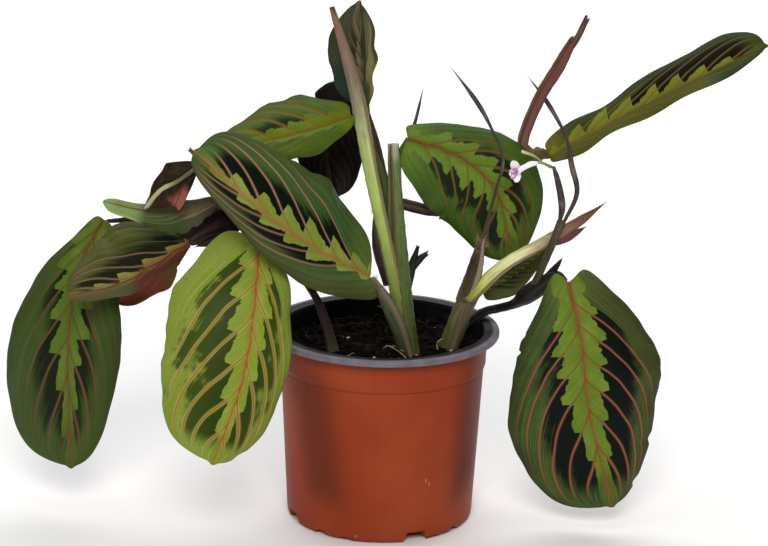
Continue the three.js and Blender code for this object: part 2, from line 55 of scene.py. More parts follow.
# Lights: name, place and target in metres, size, power and tint
LIGHTS = [
    ("front", (-0.02, -1.75, 1.35), (0, 0, 0.12), (0.9, 0.8), 30, (1, 0.985, 0.95)),
    ("left", (-1.5, 0.9, 0.6), (0, 0, 0.12), (0.8, 1.3), 1.2, (1, 1, 1)),
    ("right", (1.5, 0.9, 0.6), (0, 0, 0.12), (0.8, 1.3), 1.2, (1, 1, 1)),
    ("top", (0, 0.2, 1.9), (0, 0, 0.12), (1.2, 1.2), 11, (1, 1, 1)),
    ("backdrop", (0, 1.5, 1.5), (0, 1.2, 0), (3.0, 1.4), 34, (1, 1, 1)),
]
WORLD_STRENGTH = 0.11
FLOOR_REACH = 6
FLOOR_COLOURS = ((250, 250, 250), (246, 246, 247))

# Pot, in millimetres
RIM_RADIUS = 60
POT_HEIGHT = 101
BASE_RADIUS = 48.2
NECK_RADIUS = 53.2
NECK_HEIGHT = 96
STEP_HEIGHT = 82
STEP_OUT = 0.5
WALL = 1.5
FLOOR_THICKNESS = 2
LIP_DROP = 2.8
LIP_THICKNESS = 1.4
INNER_TOP = POT_HEIGHT - 2.4
FOOT_CORNER = 2.6
POT_SEGMENTS = 360
SHARP_ANGLE = 35
# Hollow channels run inwards under the floor from the gaps in the bottom edge
NOTCH_DEPTH = 16
CHANNEL_END = BASE_RADIUS - NOTCH_DEPTH
NOTCH_REPEATS = 4
NOTCH_SOFTNESS = 1.2
# Gaps in one quarter of the bottom edge: azimuth from the front in degrees, width and height
NOTCHES = [(23, 11.5, 5.6), (-2, 7, 1.2), (-21, 7, 1.9), (-38, 9, 1.9), (39.5, 14, 1.5), (52, 5, 3)]
# Pale scuffs on the front of the wall: place across, height, half width and half height
SCUFFS = [(-11.6, 3.6, 0.7, 1.1), (23.3, 33.6, 0.6, 1.5), (25, 31, 0.5, 1.6)]
# Painted shade: darker bands on the plastic's colour stand for the unlit sides of the pot. For each, the
# azimuth from the front at the foot and half width in degrees, how far it turns for each millimetre of
# height, and its strength
PAINTED_SHADE_ZONES = [(-31, 25, -0.16, 0.62), (59, 25, 0.1, 0.68), (150, 26, 0, 0.4), (-128, 24, 0, 0.4)]
DRAIN_HOLES = 4
DRAIN_RADIUS = 4
DRAIN_CIRCLE = 26

# Colours, apart from the tints of the lights, are the red, green and blue of a screen, 0 to 255
TERRACOTTA = dict(
    # The darkest colour here paints shade on the sides of the wall.
    base=(143, 56, 28), light=(154, 67, 38), flow=(134, 50, 24), painted_shade=(58, 27, 16), ring=(134, 46, 20),
    # The colour for the line at the step paints shade in its crease.
    painted_step_shade=(110, 38, 18), worn=(190, 110, 80), scuff=(214, 150, 128), dust=(112, 60, 42),
)
# The rim's grey is partly the plastic's own colour and partly a painted bluish reflection on the lip; the
# black inside and the dirt are its own.
RIM_COLOURS_AND_SHEEN = dict(base=(98, 92, 103), light=(118, 111, 121), inside=(10, 9, 10), dirt=(30, 22, 17))

# Soil, in millimetres
SOIL_TOP = 91.5
SOIL_LUMP = 1.1
SOIL_GAP = 0.3
SOIL_FIT = 0.998
SOIL_RINGS = 64
SOIL_SEGMENTS = 200
SOIL_SEED = 11
CRUMBS = 900
CRUMB_MARGIN = 3
CRUMB_SIZE = (0.5, 1.2)
CRUMB_EXTRA = 1.1
CRUMB_RISE = 0.25
CRUMB_STRETCH = ((0.7, 1.6), (0.6, 1.1), (0.4, 0.8))
CRUMB_KNOBS = 0.45
# Shares of the crumbs up to which they are peat, and then bark; the rest are pale chips
CRUMB_SHARES = (0.8, 0.985)
FIBRES = 60
FIBRE_MARGIN = 6
FIBRE_LIMIT = 2
FIBRE_LENGTH = (3, 12)
FIBRE_BEND = 1.2
FIBRE_THICKNESS = (0.12, 0.34)
FIBRE_ARCH = 0.7
ROOTLET_STEPS = 9
THREAD_SIDES = 5
PEAT = dict(dark=(4, 3, 2), base=(13, 9, 7), lump=(22, 15, 11), speck=(44, 32, 23))
# Crumbs and threads: name, darkest and lightest colour, roughness
CRUMB_LOOKS = [
    ("peat_crumbs", (5, 4, 3), (16, 11, 8), 0.85),
    ("bark_chips", (20, 13, 8), (40, 27, 18), 0.8),
    ("pale_chips", (150, 140, 116), (196, 188, 166), 0.75),
    ("rootlets", (40, 28, 18), (84, 62, 42), 0.75),
    ("pale_rootlets", (104, 84, 62), (176, 172, 138), 0.7),
]
# Pale rootlets at the feet of the stems: path and thickness
ROOTLETS = [
    ([(30, -12, 90.5), (28, -12.5, 93.5), (27.8, -12.5, 96.2), (29.4, -12, 98), (31, -10, 98)], 0.5),
    ([(0, -9, 91), (2.8, -11.7, 94), (6.9, -19.6, 94.6), (11, -23, 92.5), (13, -25, 90.5)], 0.55),
    ([(4, -6, 91), (5.9, -8.3, 93), (9.4, -20.9, 95), (13, -19.5, 93)], 0.35),
    ([(-22, -24, 91), (-18, -27, 93), (-15, -26, 94.4), (-14, -23, 93)], 0.35),
]

# Leaf blades, in millimetres
BLADE = 0.55
BLADE_EDGE = 0.28
# A blade thins towards its margin over these shares of its half width and of its length
EDGE_ZONE = 0.1
TIP_ZONE = 0.01
FRAME_STEP = 0.09
TIP_MARGIN = 0.0015
# Outline: an oval to this power, less at the tip, with lobes behind the base and a wavy margin
OVAL_POWER = 0.44
OVAL_TAPER = 0.1
LOBE_PLACE = 0.06
LOBE_POWER = 1.4
WAVE_HEIGHT = 1.2
WAVE_COUNT = 3
WAVE_START = (0.6, 0.15)
QUILT = 0.34
LARGE_GRID = (124, 80)
SMALL_GRID = (76, 48)
TIP_POINT = 1.8
TIP_POINT_WIDTH = 1.7
EDGE_ROUGHNESS = 0.011
# The midrib: depth and width of its trough above, height and width of its ridge below
RIB_TROUGH = 0.35
RIB_TROUGH_WIDTH = 1.1
RIB_RIDGE = 0.75
RIB_RIDGE_WIDTH = 0.85
# Side veins leave the midrib close along it and then turn out, and crowd together towards the tip
FORK_WIDTH = 0.07
FORK_REACH = 0.03
CROWDING = 0.1
VEIN_WANDER = 0.035
RIB_SWAY = 1.6
RIB_ZIGZAG = 0.42

# What a leaf has unless its own row says otherwise
PLAIN_LEAF = dict(grid=LARGE_GRID, lobes=(0, 0), nicks=(), slot="leaf_green", under="plain")
# Each leaf: four points along the midrib, which way its upper side faces at base and tip, half widths
# of the left and right half, the droop of each half in degrees at base and tip, the lobes behind the
# base, the bow, and nicks in the margin as half (0 left, 1 right), place, half length and depth.
LEAVES = {
    "leaf_right_low": dict(
        midrib=[(94, -8, 129), (101, -18, 101), (106, -24, 65), (120, -22, 14)],
        face=[(0.05, -0.8, 0.6), (0.1, -1, 0)],
        left=[21, 35, 43, 41, 28], right=[10, 30, 37, 46, 52],
        droop=[(14, 18), (12, 14)], lobes=(9, 10), bow=3,
        nicks=[(1, 0.27, 0.02, 0.03), (1, 0.36, 0.015, 0.05), (0, 0.955, 0.018, 0.12), (0, 0.84, 0.02, 0.06)],
        look="deep",
    ),
    "leaf_left_pale": dict(
        midrib=[(-62, -34, 156), (-63, -56, 131), (-68, -70, 94), (-82, -73, 52)],
        face=[(0.2, -0.8, 0.6), (0.15, -1, 0)],
        left=[18, 22, 24, 28, 30], right=[34, 42, 42, 43, 47],
        droop=[(22, 30), (14, 14)], lobes=(5, 8), bow=3,
        nicks=[(0, 0.965, 0.025, 0.14)],
        slot="leaf_pale", look="pale",
    ),
    "leaf_far_left": dict(
        midrib=[(-143, -2, 155), (-154, -10, 133), (-160, -18, 93), (-160, -16, 27)],
        face=[(-0.3, -0.75, 0.6), (-0.1, -1, 0)],
        left=[11, 19, 24, 29, 24], right=[12, 16, 29, 42, 56],
        droop=[(14, 24), (14, 20)], lobes=(2, 3), bow=3,
        look="far",
    ),
    "leaf_centre_left": dict(
        midrib=[(-7, -22, 134), (-31, -42, 152), (-58, -57, 175), (-91, -64, 206)],
        face=[(0, -0.75, 0.65), (-0.1, -0.8, 0.6)],
        left=[19, 20, 18, 16, 16], right=[44, 45, 37, 34, 36],
        droop=[(10, 50), (6, 14)], lobes=(13, 6), bow=3,
        look="centre",
    ),
    "leaf_up_left": dict(
        midrib=[(-18.5, -1, 211), (-36, -4, 205), (-59, -6, 199), (-85, -4, 192)],
        face=[(0.1, -0.42, 0.9), (-0.1, -0.4, 0.9)],
        left=[10, 15, 17, 16, 10], right=[18, 30, 34, 34, 32],
        droop=[(8, 8), (4, 4)], lobes=(2, 4), bow=2,
        look="bright",
    ),
    "leaf_back_dark": dict(
        midrib=[(-19, 30, 217), (-26, 38, 202), (-31, 42, 183), (-27, 36, 160)],
        face=[(0, 0.9, -0.3), (0, 1, 0.2)],
        left=[17, 18, 16, 17, 14], right=[8, 13, 17, 20, 19],
        droop=[(-10, -10), (-10, -10)], lobes=(4, 0), bow=2, grid=SMALL_GRID,
        nicks=[(0, 0.3, 0.04, 0.14), (0, 0.46, 0.03, 0.1), (0, 0.62, 0.05, 0.16), (0, 0.8, 0.04, 0.1)],
        slot="leaf_maroon", look="deep", under="black_maroon",
    ),
    "leaf_top": dict(
        midrib=[(-10, 14, 210), (-12, 18, 226), (-14, 20, 244), (-15, 18, 265)],
        face=[(-0.1, -1, 0), (-0.1, -1, 0)],
        left=[7, 16, 17, 18, 10], right=[4, 8, 12, 15, 12],
        droop=[(8, 8), (-50, -50)], bow=2, grid=SMALL_GRID,
        slot="leaf_grey", look="young",
    ),
    "leaf_mid_right": dict(
        midrib=[(10.5, 0.5, 199.5), (36, -2, 192), (56, -4, 174), (65, -2, 139)],
        face=[(-0.1, -0.8, 0.6), (0.1, -1, 0)],
        left=[17, 17, 24, 26, 17], right=[26, 32, 31, 34, 26],
        droop=[(8, 16), (14, 14)], lobes=(6, 4), bow=3,
        look="middle",
    ),
    "leaf_far_right": dict(
        midrib=[(84, 16, 188), (110, 14, 204), (148, 10, 227), (188, 4, 250)],
        face=[(-0.3, -0.25, 0.9), (-0.3, -0.2, 0.9)],
        left=[30, 19, 20, 28, 34], right=[24, 19, 16, 24, 22],
        droop=[(-12, -12), (-10, -10)], lobes=(4, 2), bow=2,
        look="olive",
    ),
    "leaf_left_striped": dict(
        midrib=[(-98, -22, 150), (-114, -32, 141), (-131, -42, 133), (-155, -50, 129)],
        face=[(-0.2, -0.6, 0.8), (-0.2, -0.7, 0.7)],
        left=[10, 14, 15, 16, 14], right=[30, 36, 32, 28, 20],
        droop=[(105, 105), (0, -4)], lobes=(3, 3), bow=2,
        look="striped",
    ),
    "leaf_left_under": dict(
        midrib=[(-99, -6, 144), (-112, 0, 134), (-125, 4, 122), (-139, 5, 110)],
        face=[(-0.1, 0.9, -0.2), (-0.1, 1, 0)],
        left=[4, 9, 13, 15, 16], right=[3, 7, 13, 12, 12],
        droop=[(-10, -10), (-10, -10)], bow=2, grid=SMALL_GRID,
        nicks=[(0, 0.45, 0.05, 0.12), (0, 0.7, 0.06, 0.1), (1, 0.3, 0.05, 0.12)],
        slot="leaf_maroon", look="rolled", under="red_maroon",
    ),
    "leaf_left_small": dict(
        midrib=[(-82, -20, 171), (-100, -24, 166), (-117, -26, 166), (-139, -24, 170)],
        face=[(-0.1, -0.6, 0.8), (-0.1, -0.6, 0.8)],
        left=[4, 11, 12, 7, 9], right=[7, 8, 5, 4, 6],
        droop=[(12, 12), (0, 0)], bow=1, grid=SMALL_GRID,
        nicks=[(0, 0.3, 0.04, 0.16), (0, 0.42, 0.03, 0.14), (0, 0.18, 0.04, 0.14), (0, 0.53, 0.03, 0.1)],
        slot="leaf_grey", look="small",
    ),
    "leaf_left_curled": dict(
        midrib=[(-92, -32, 192), (-102, -36, 185), (-111, -36, 180), (-118, -33, 171)],
        face=[(-0.1, 0.9, -0.3), (-0.1, 0.9, -0.3)],
        left=[7, 11, 9, 4, 3], right=[3, 7, 13, 12, 7],
        droop=[(-10, -10), (-10, -10)], bow=1.5, grid=SMALL_GRID,
        slot="leaf_maroon", look="rolled", under="pink_brown",
    ),
    "leaf_right_inner": dict(
        midrib=[(51, 14, 117), (63, 16, 126), (75, 16, 135), (88, 12, 146)],
        face=[(-0.1, -0.9, 0.4), (-0.1, -0.9, 0.4)],
        left=[4, 7, 7, 8, 5], right=[11, 13, 10, 7, 4],
        droop=[(40, 40), (5, 5)], lobes=(0, 3), bow=1, grid=SMALL_GRID,
        look="inner",
    ),
}

# Upper sides. spacing is the distance between side veins as a share of the leaf's length, start shifts
# them for the left and right half, sweep bends them towards the tip, feather is the half width in
# millimetres of the pale toothed band along the midrib, tooth is the depth of its teeth, blotch is how
# far out the dark blotches reach, blotches is from which to which side vein they lie, and soft is how
# soft they end. The rest is optional: border is the blotches' distance from the veins, dark_share,
# faint and warm are the strength of the blotches, the veins and a brown tint in the left and right
# half, patchy makes the blotches uneven, fade weakens them outwards, vein_end is how far out the
# veins reach, halo_mm and halo_share are the width and strength of the veins' pale halo, rib_line is
# the midrib's half width at base and tip, gloss is the shine, and bands are painted stripes: place
# across, half width, colour, and from where to where along the leaf.
PLAIN_LOOK = dict(
    border=0, dark_share=(1, 1), faint=(1, 1), warm=(0, 0), patchy=0, fade=0, vein_end=0.72,
    halo_mm=0.7, halo_share=0.3, rib_line=(0.75, 0.28), gloss=0.08, bands=(),
)
WARM_TINT = (74, 56, 40)
LOOKS = {
    "deep": dict(
        lime=(94, 118, 32), lime_light=(122, 144, 56), dark=(9, 14, 9), mid=(60, 82, 34),
        light=(92, 126, 60), outer=(50, 60, 30), base=(84, 104, 42),
        vein=(150, 80, 64), fine=(122, 62, 34), halo=(110, 84, 56), midrib=(134, 72, 44),
        spacing=0.148, start=(0.3, 0.2), sweep=(0.30, 0.36), feather=(11, 12.5), tooth=0.42,
        blotch=0.6, blotches=(0.4, 8), soft=0.08, warm=(0.3, 0.08),
    ),
    "pale": dict(
        lime=(124, 142, 44), lime_light=(146, 162, 70), dark=(40, 56, 5), mid=(122, 138, 44),
        light=(152, 168, 82), outer=(124, 142, 58), base=(112, 128, 38),
        vein=(146, 88, 42), fine=(146, 74, 32), halo=(182, 176, 96), midrib=(158, 78, 34),
        spacing=0.165, start=(0.2, 0.5), sweep=(0.34, 0.38), feather=(7, 10), tooth=0.5,
        blotch=0.66, blotches=(0.3, 8), soft=0.13, border=0.85, fade=0.1, patchy=0.8,
        halo_mm=1.0, halo_share=0.35, rib_line=(0.5, 0.22),
    ),
    "far": dict(
        lime=(82, 106, 32), lime_light=(106, 126, 50), dark=(20, 27, 9), mid=(62, 80, 32),
        light=(80, 100, 46), outer=(60, 70, 32), base=(84, 102, 38),
        vein=(108, 66, 46), fine=(98, 64, 38), halo=(84, 74, 46), midrib=(102, 70, 38),
        spacing=0.15, start=(0.3, 0.55), sweep=(0.32, 0.38), feather=(9, 9), tooth=0.62,
        blotch=0.38, blotches=(0.5, 8), soft=0.12, vein_end=0.45,
    ),
    "centre": dict(
        lime=(118, 132, 48), lime_light=(150, 160, 84), dark=(9, 17, 9), mid=(56, 82, 38),
        light=(80, 126, 70), outer=(66, 78, 36), base=(88, 104, 46),
        vein=(164, 110, 96), fine=(146, 100, 56), halo=(92, 82, 60), midrib=(150, 112, 60),
        spacing=0.158, start=(0.1, 0.6), sweep=(0.42, 0.3), feather=(4.5, 8), tooth=0.85,
        blotch=0.5, blotches=(1, 9), soft=0.1, warm=(0.28, 0), faint=(0.55, 1), gloss=0.05,
    ),
    "bright": dict(
        lime=(88, 106, 20), lime_light=(104, 122, 30), dark=(20, 38, 8), mid=(72, 92, 26),
        light=(86, 108, 36), outer=(60, 78, 22), base=(94, 114, 20),
        vein=(118, 70, 28), fine=(118, 70, 28), halo=(116, 98, 34), midrib=(116, 76, 30),
        spacing=0.19, start=(0.2, 0.5), sweep=(0.3, 0.4), feather=(5, 9), tooth=0.4,
        blotch=0.42, blotches=(2, 4), soft=0.14, border=0.5, halo_share=0.5, halo_mm=1.2,
        faint=(0.25, 0.9), dark_share=(0.25, 1), gloss=0.03, rib_line=(0.6, 0.25),
    ),
    "young": dict(
        lime=(84, 84, 46), lime_light=(96, 94, 58), dark=(46, 42, 28), mid=(62, 70, 44),
        light=(84, 90, 58), outer=(50, 62, 48), base=(60, 74, 42),
        vein=(74, 78, 58), fine=(62, 66, 46), halo=(62, 66, 48), midrib=(80, 74, 54),
        spacing=0.14, start=(0.2, 0.5), sweep=(0.6, 0.5), feather=(3, 3), tooth=0.2,
        blotch=0.4, blotches=(1, 5), soft=0.2, border=0.3, gloss=0.03,
        # The narrow dark brown stripe at 0.47 is painted shade inside the fold of the half-open leaf.
        bands=[(0.16, 0.34, (158, 134, 104), 0.2, 1.1), (0.47, 0.14, (26, 17, 8), 0.25, 1.05),
               (0.72, 0.22, (142, 130, 86), 0.25, 0.98), (0.97, 0.12, (70, 66, 50), 0.5, 1.1),
               (-0.2, 0.26, (128, 108, 84), 0.3, 1.1),
               (0.93, 0.16, (122, 116, 62), 0.1, 0.55), (-0.75, 0.5, (40, 60, 52), 0, 0.55)],
    ),
    "middle": dict(
        lime=(88, 114, 30), lime_light=(108, 132, 44), dark=(22, 28, 10), mid=(62, 88, 30),
        light=(78, 106, 42), outer=(56, 76, 26), base=(84, 112, 32),
        vein=(106, 64, 38), fine=(106, 64, 30), halo=(92, 84, 44), midrib=(108, 66, 32),
        spacing=0.165, start=(0.3, 0.55), sweep=(0.3, 0.36), feather=(8.5, 9.5), tooth=0.6,
        blotch=0.5, blotches=(0.6, 8), soft=0.07, border=0.6, patchy=0.3, vein_end=0.62,
    ),
    "olive": dict(
        lime=(108, 116, 34), lime_light=(128, 138, 52), dark=(15, 15, 5), mid=(52, 60, 22),
        light=(66, 76, 32), outer=(44, 62, 26), base=(104, 102, 28),
        vein=(112, 78, 44), fine=(126, 78, 36), halo=(88, 84, 40), midrib=(128, 84, 38),
        spacing=0.135, start=(0.3, 0.6), sweep=(0.3, 0.2), feather=(8, 4), tooth=0.9,
        blotch=0.75, blotches=(2.6, 10), soft=0.12, border=0.3, faint=(0.9, 0.5), vein_end=0.6,
        dark_share=(1, 0.15), gloss=0.02,
        bands=[(0.55, 0.8, (84, 82, 30), -0.1, 0.86)],
    ),
    "striped": dict(
        lime=(138, 138, 56), lime_light=(156, 152, 84), dark=(24, 28, 12), mid=(66, 74, 30),
        light=(96, 104, 50), outer=(82, 82, 38), base=(66, 66, 32),
        vein=(124, 88, 74), fine=(120, 96, 58), halo=(70, 62, 50), midrib=(104, 52, 44),
        spacing=0.24, start=(0.4, 0.5), sweep=(0.8, 0.5), feather=(0.8, 3.8), tooth=1.15,
        blotch=0.5, blotches=(-1, 7), soft=0.16, border=0.3, gloss=0.03, dark_share=(0, 1), faint=(0.4, 1),
        bands=[(-0.55, 0.9, (108, 50, 40), -0.1, 0.62), (-0.55, 0.9, (90, 94, 56), 0.5, 1.2)],
    ),
    "small": dict(
        lime=(122, 148, 86), lime_light=(140, 166, 104), dark=(58, 76, 38), mid=(108, 132, 76),
        light=(130, 154, 98), outer=(112, 138, 80), base=(84, 98, 66),
        vein=(104, 100, 70), fine=(100, 94, 62), halo=(96, 104, 70), midrib=(112, 88, 66),
        spacing=0.16, start=(0.2, 0.5), sweep=(0.5, 0.4), feather=(2.5, 2.5), tooth=0.3,
        blotch=0.35, blotches=(1, 4), soft=0.2, border=0.4, faint=(0.5, 0.5), gloss=0.03,
        bands=[(-0.3, 2.2, (38, 44, 15), -0.1, 0.8), (0.5, 0.7, (66, 60, 40), -0.1, 0.5),
               (-0.6, 0.9, (78, 70, 52), -0.1, 0.38),
               (0.0, 0.2, (112, 88, 76), 0.02, 0.45), (-0.35, 0.12, (116, 104, 84), 0.02, 0.42),
               (0, 2, (148, 176, 104), 0.7, 1.3)],
    ),
    "inner": dict(
        lime=(104, 110, 54), lime_light=(118, 124, 68), dark=(42, 46, 22), mid=(90, 94, 46),
        light=(108, 112, 62), outer=(84, 94, 48), base=(90, 98, 46),
        vein=(76, 72, 40), fine=(72, 68, 38), halo=(66, 66, 38), midrib=(84, 78, 44),
        spacing=0.09, start=(0.2, 0.5), sweep=(0.2, 0.2), feather=(2.5, 3), tooth=0.6,
        blotch=0.7, blotches=(1, 10), soft=0.1, border=0.7,
    ),
}

LOOKS["rolled"] = dict(LOOKS["deep"], feather=(2.5, 4), spacing=0.19)
LOOKS = {name: {**PLAIN_LOOK, **look} for name, look in LOOKS.items()}

# Undersides: the left and right half, the band along the midrib, the veins, the margin and the midrib.
# rib_mm is the midrib's half width at base and tip, rib_span is where along the leaf it appears,
# band_share is the strength of the band, and bands are as above.
PLAIN_UNDERSIDE = dict(rib_mm=(1.3, 0.5), rib_span=(-1, 0), band_share=0.7, bands=())
UNDERSIDES = {
    "plain": dict(
        left=(78, 40, 34), right=(82, 42, 35), band=(104, 70, 48), vein=(118, 76, 58), margin=(80, 68, 42),
        rib=(134, 96, 66),
    ),
    "red_maroon": dict(
        left=(142, 66, 52), right=(146, 76, 54), band=(138, 52, 44), vein=(156, 88, 66), margin=(112, 92, 50),
        rib=(112, 52, 44),
        bands=[(0.95, 0.6, (112, 94, 52), -0.1, 0.6)],
    ),
    "black_maroon": dict(
        left=(16, 9, 9), right=(20, 12, 10), band=(26, 15, 14), vein=(56, 44, 40), margin=(40, 42, 24),
        rib=(52, 40, 36), rib_mm=(1, 0.4),
    ),
    # On the curled leaf, the dark brown halves and the band along the midrib are partly the underside's own
    # colour and partly painted shade.
    "pink_brown": dict(
        left=(38, 30, 17), right=(40, 28, 18), band=(36, 24, 16), vein=(58, 40, 28), margin=(52, 36, 24),
        rib=(184, 182, 142), rib_mm=(0.5, 1.8), rib_span=(0.3, 0.62), band_share=1,
        bands=[(1.0, 0.7, (150, 84, 76), 0.24, 0.78)],
    ),
}

UNDERSIDES = {name: {**PLAIN_UNDERSIDE, **look} for name, look in UNDERSIDES.items()}

# Stems: colours from the foot to the tip as (place, colour), the papery edge of a sheath, and how
# strong the dark streaks are where they are weaker than usual
STEM_LOOKS = {
    "grey_olive": dict(
        ramp=[(0, (52, 54, 36)), (0.3, (72, 76, 54)), (0.6, (84, 88, 64)), (0.85, (96, 88, 68)),
              (1, (112, 94, 80))],
        margin=(120, 104, 84),
    ),
    "green_sheath": dict(
        ramp=[(0, (70, 72, 40)), (0.25, (78, 92, 46)), (0.6, (90, 108, 54)), (0.92, (104, 118, 70)),
              (1, (176, 178, 150))],
        margin=(84, 58, 40),
    ),
    "pale_pink": dict(
        ramp=[(0, (84, 86, 40)), (0.2, (128, 142, 62)), (0.44, (172, 190, 104)), (0.63, (170, 180, 118)),
              (0.72, (142, 136, 108)), (0.79, (126, 110, 94)), (0.88, (132, 106, 92)), (0.96, (134, 92, 80)),
              (1, (36, 31, 29))],
        margin=(116, 98, 74), streaked=0.4,
    ),
    "brown_strip": dict(
        ramp=[(0, (58, 48, 28)), (0.6, (74, 58, 38)), (1, (84, 70, 52))], margin=(50, 36, 28),
    ),
    "leaf_stalk": dict(ramp=[(0, (70, 68, 38)), (0.6, (80, 86, 42)), (1, (92, 108, 42))]),
    "dark_bract": dict(ramp=[(0, (36, 28, 26)), (0.5, (48, 34, 36)), (1, (80, 70, 64))], margin=(84, 74, 62)),
    "dead": dict(ramp=[(0, (44, 46, 30)), (0.6, (36, 33, 26)), (1, (26, 23, 21))]),
    "dark_run": dict(
        ramp=[(0, (50, 36, 34)), (0.5, (58, 42, 40)), (0.8, (68, 56, 42)), (1, (84, 74, 50))],
        margin=(84, 66, 54),
    ),
    "node": dict(ramp=[(0, (92, 78, 58)), (0.5, (80, 70, 38)), (1, (96, 96, 38))]),
    "red_sheath": dict(
        ramp=[(0, (98, 84, 64)), (0.14, (124, 100, 80)), (0.3, (116, 78, 68)), (0.6, (112, 66, 60)),
              (1, (100, 62, 50))],
        margin=(92, 56, 46),
    ),
    "brown_stub": dict(ramp=[(0, (96, 74, 56)), (0.7, (92, 74, 56)), (1, (76, 52, 46))]),
    "spikelet": dict(
        ramp=[(0, (78, 66, 50)), (0.3, (70, 62, 52)), (0.36, (110, 100, 84)), (0.42, (72, 64, 58)),
              (0.68, (66, 58, 58)), (0.72, (104, 96, 86)), (0.77, (64, 58, 62)), (1, (86, 84, 92))],
    ),
    "green_brown": dict(
        ramp=[(0, (62, 66, 34)), (0.3, (82, 82, 48)), (0.6, (96, 92, 62)), (1, (112, 98, 74))],
        margin=(96, 80, 62),
    ),
    "brown_sheath": dict(
        ramp=[(0, (104, 92, 68)), (0.25, (80, 66, 46)), (0.6, (62, 48, 36)), (1, (96, 80, 64))],
        margin=(150, 136, 112),
    ),
    "pale_red": dict(
        ramp=[(0, (138, 136, 54)), (0.12, (196, 200, 104)), (0.3, (226, 230, 168)), (0.46, (196, 186, 140)),
              (0.6, (144, 122, 94)), (0.78, (112, 76, 62)), (1, (86, 54, 48))],
        margin=(112, 84, 64), streaked=0.5,
    ),
    "red_bract": dict(ramp=[(0, (74, 54, 38)), (0.5, (106, 58, 56)), (1, (92, 50, 54))], margin=(84, 56, 48)),
    "olive_stalk": dict(ramp=[(0, (70, 74, 44)), (0.6, (74, 64, 48)), (1, (88, 72, 60))]),
    "black_stalk": dict(
        ramp=[(0, (30, 28, 26)), (0.6, (26, 24, 23)), (0.9, (30, 27, 25)), (1, (54, 56, 36))],
        margin=(48, 44, 40),
    ),
    "maroon_stalk": dict(
        ramp=[(0, (84, 80, 68)), (0.1, (76, 68, 58)), (0.22, (50, 38, 36)), (0.6, (40, 28, 29)),
              (1, (38, 26, 29))],
    ),
    "purple_stalk": dict(
        ramp=[(0, (38, 26, 29)), (0.6, (42, 27, 31)), (1, (62, 46, 40))], margin=(58, 40, 38),
    ),
}

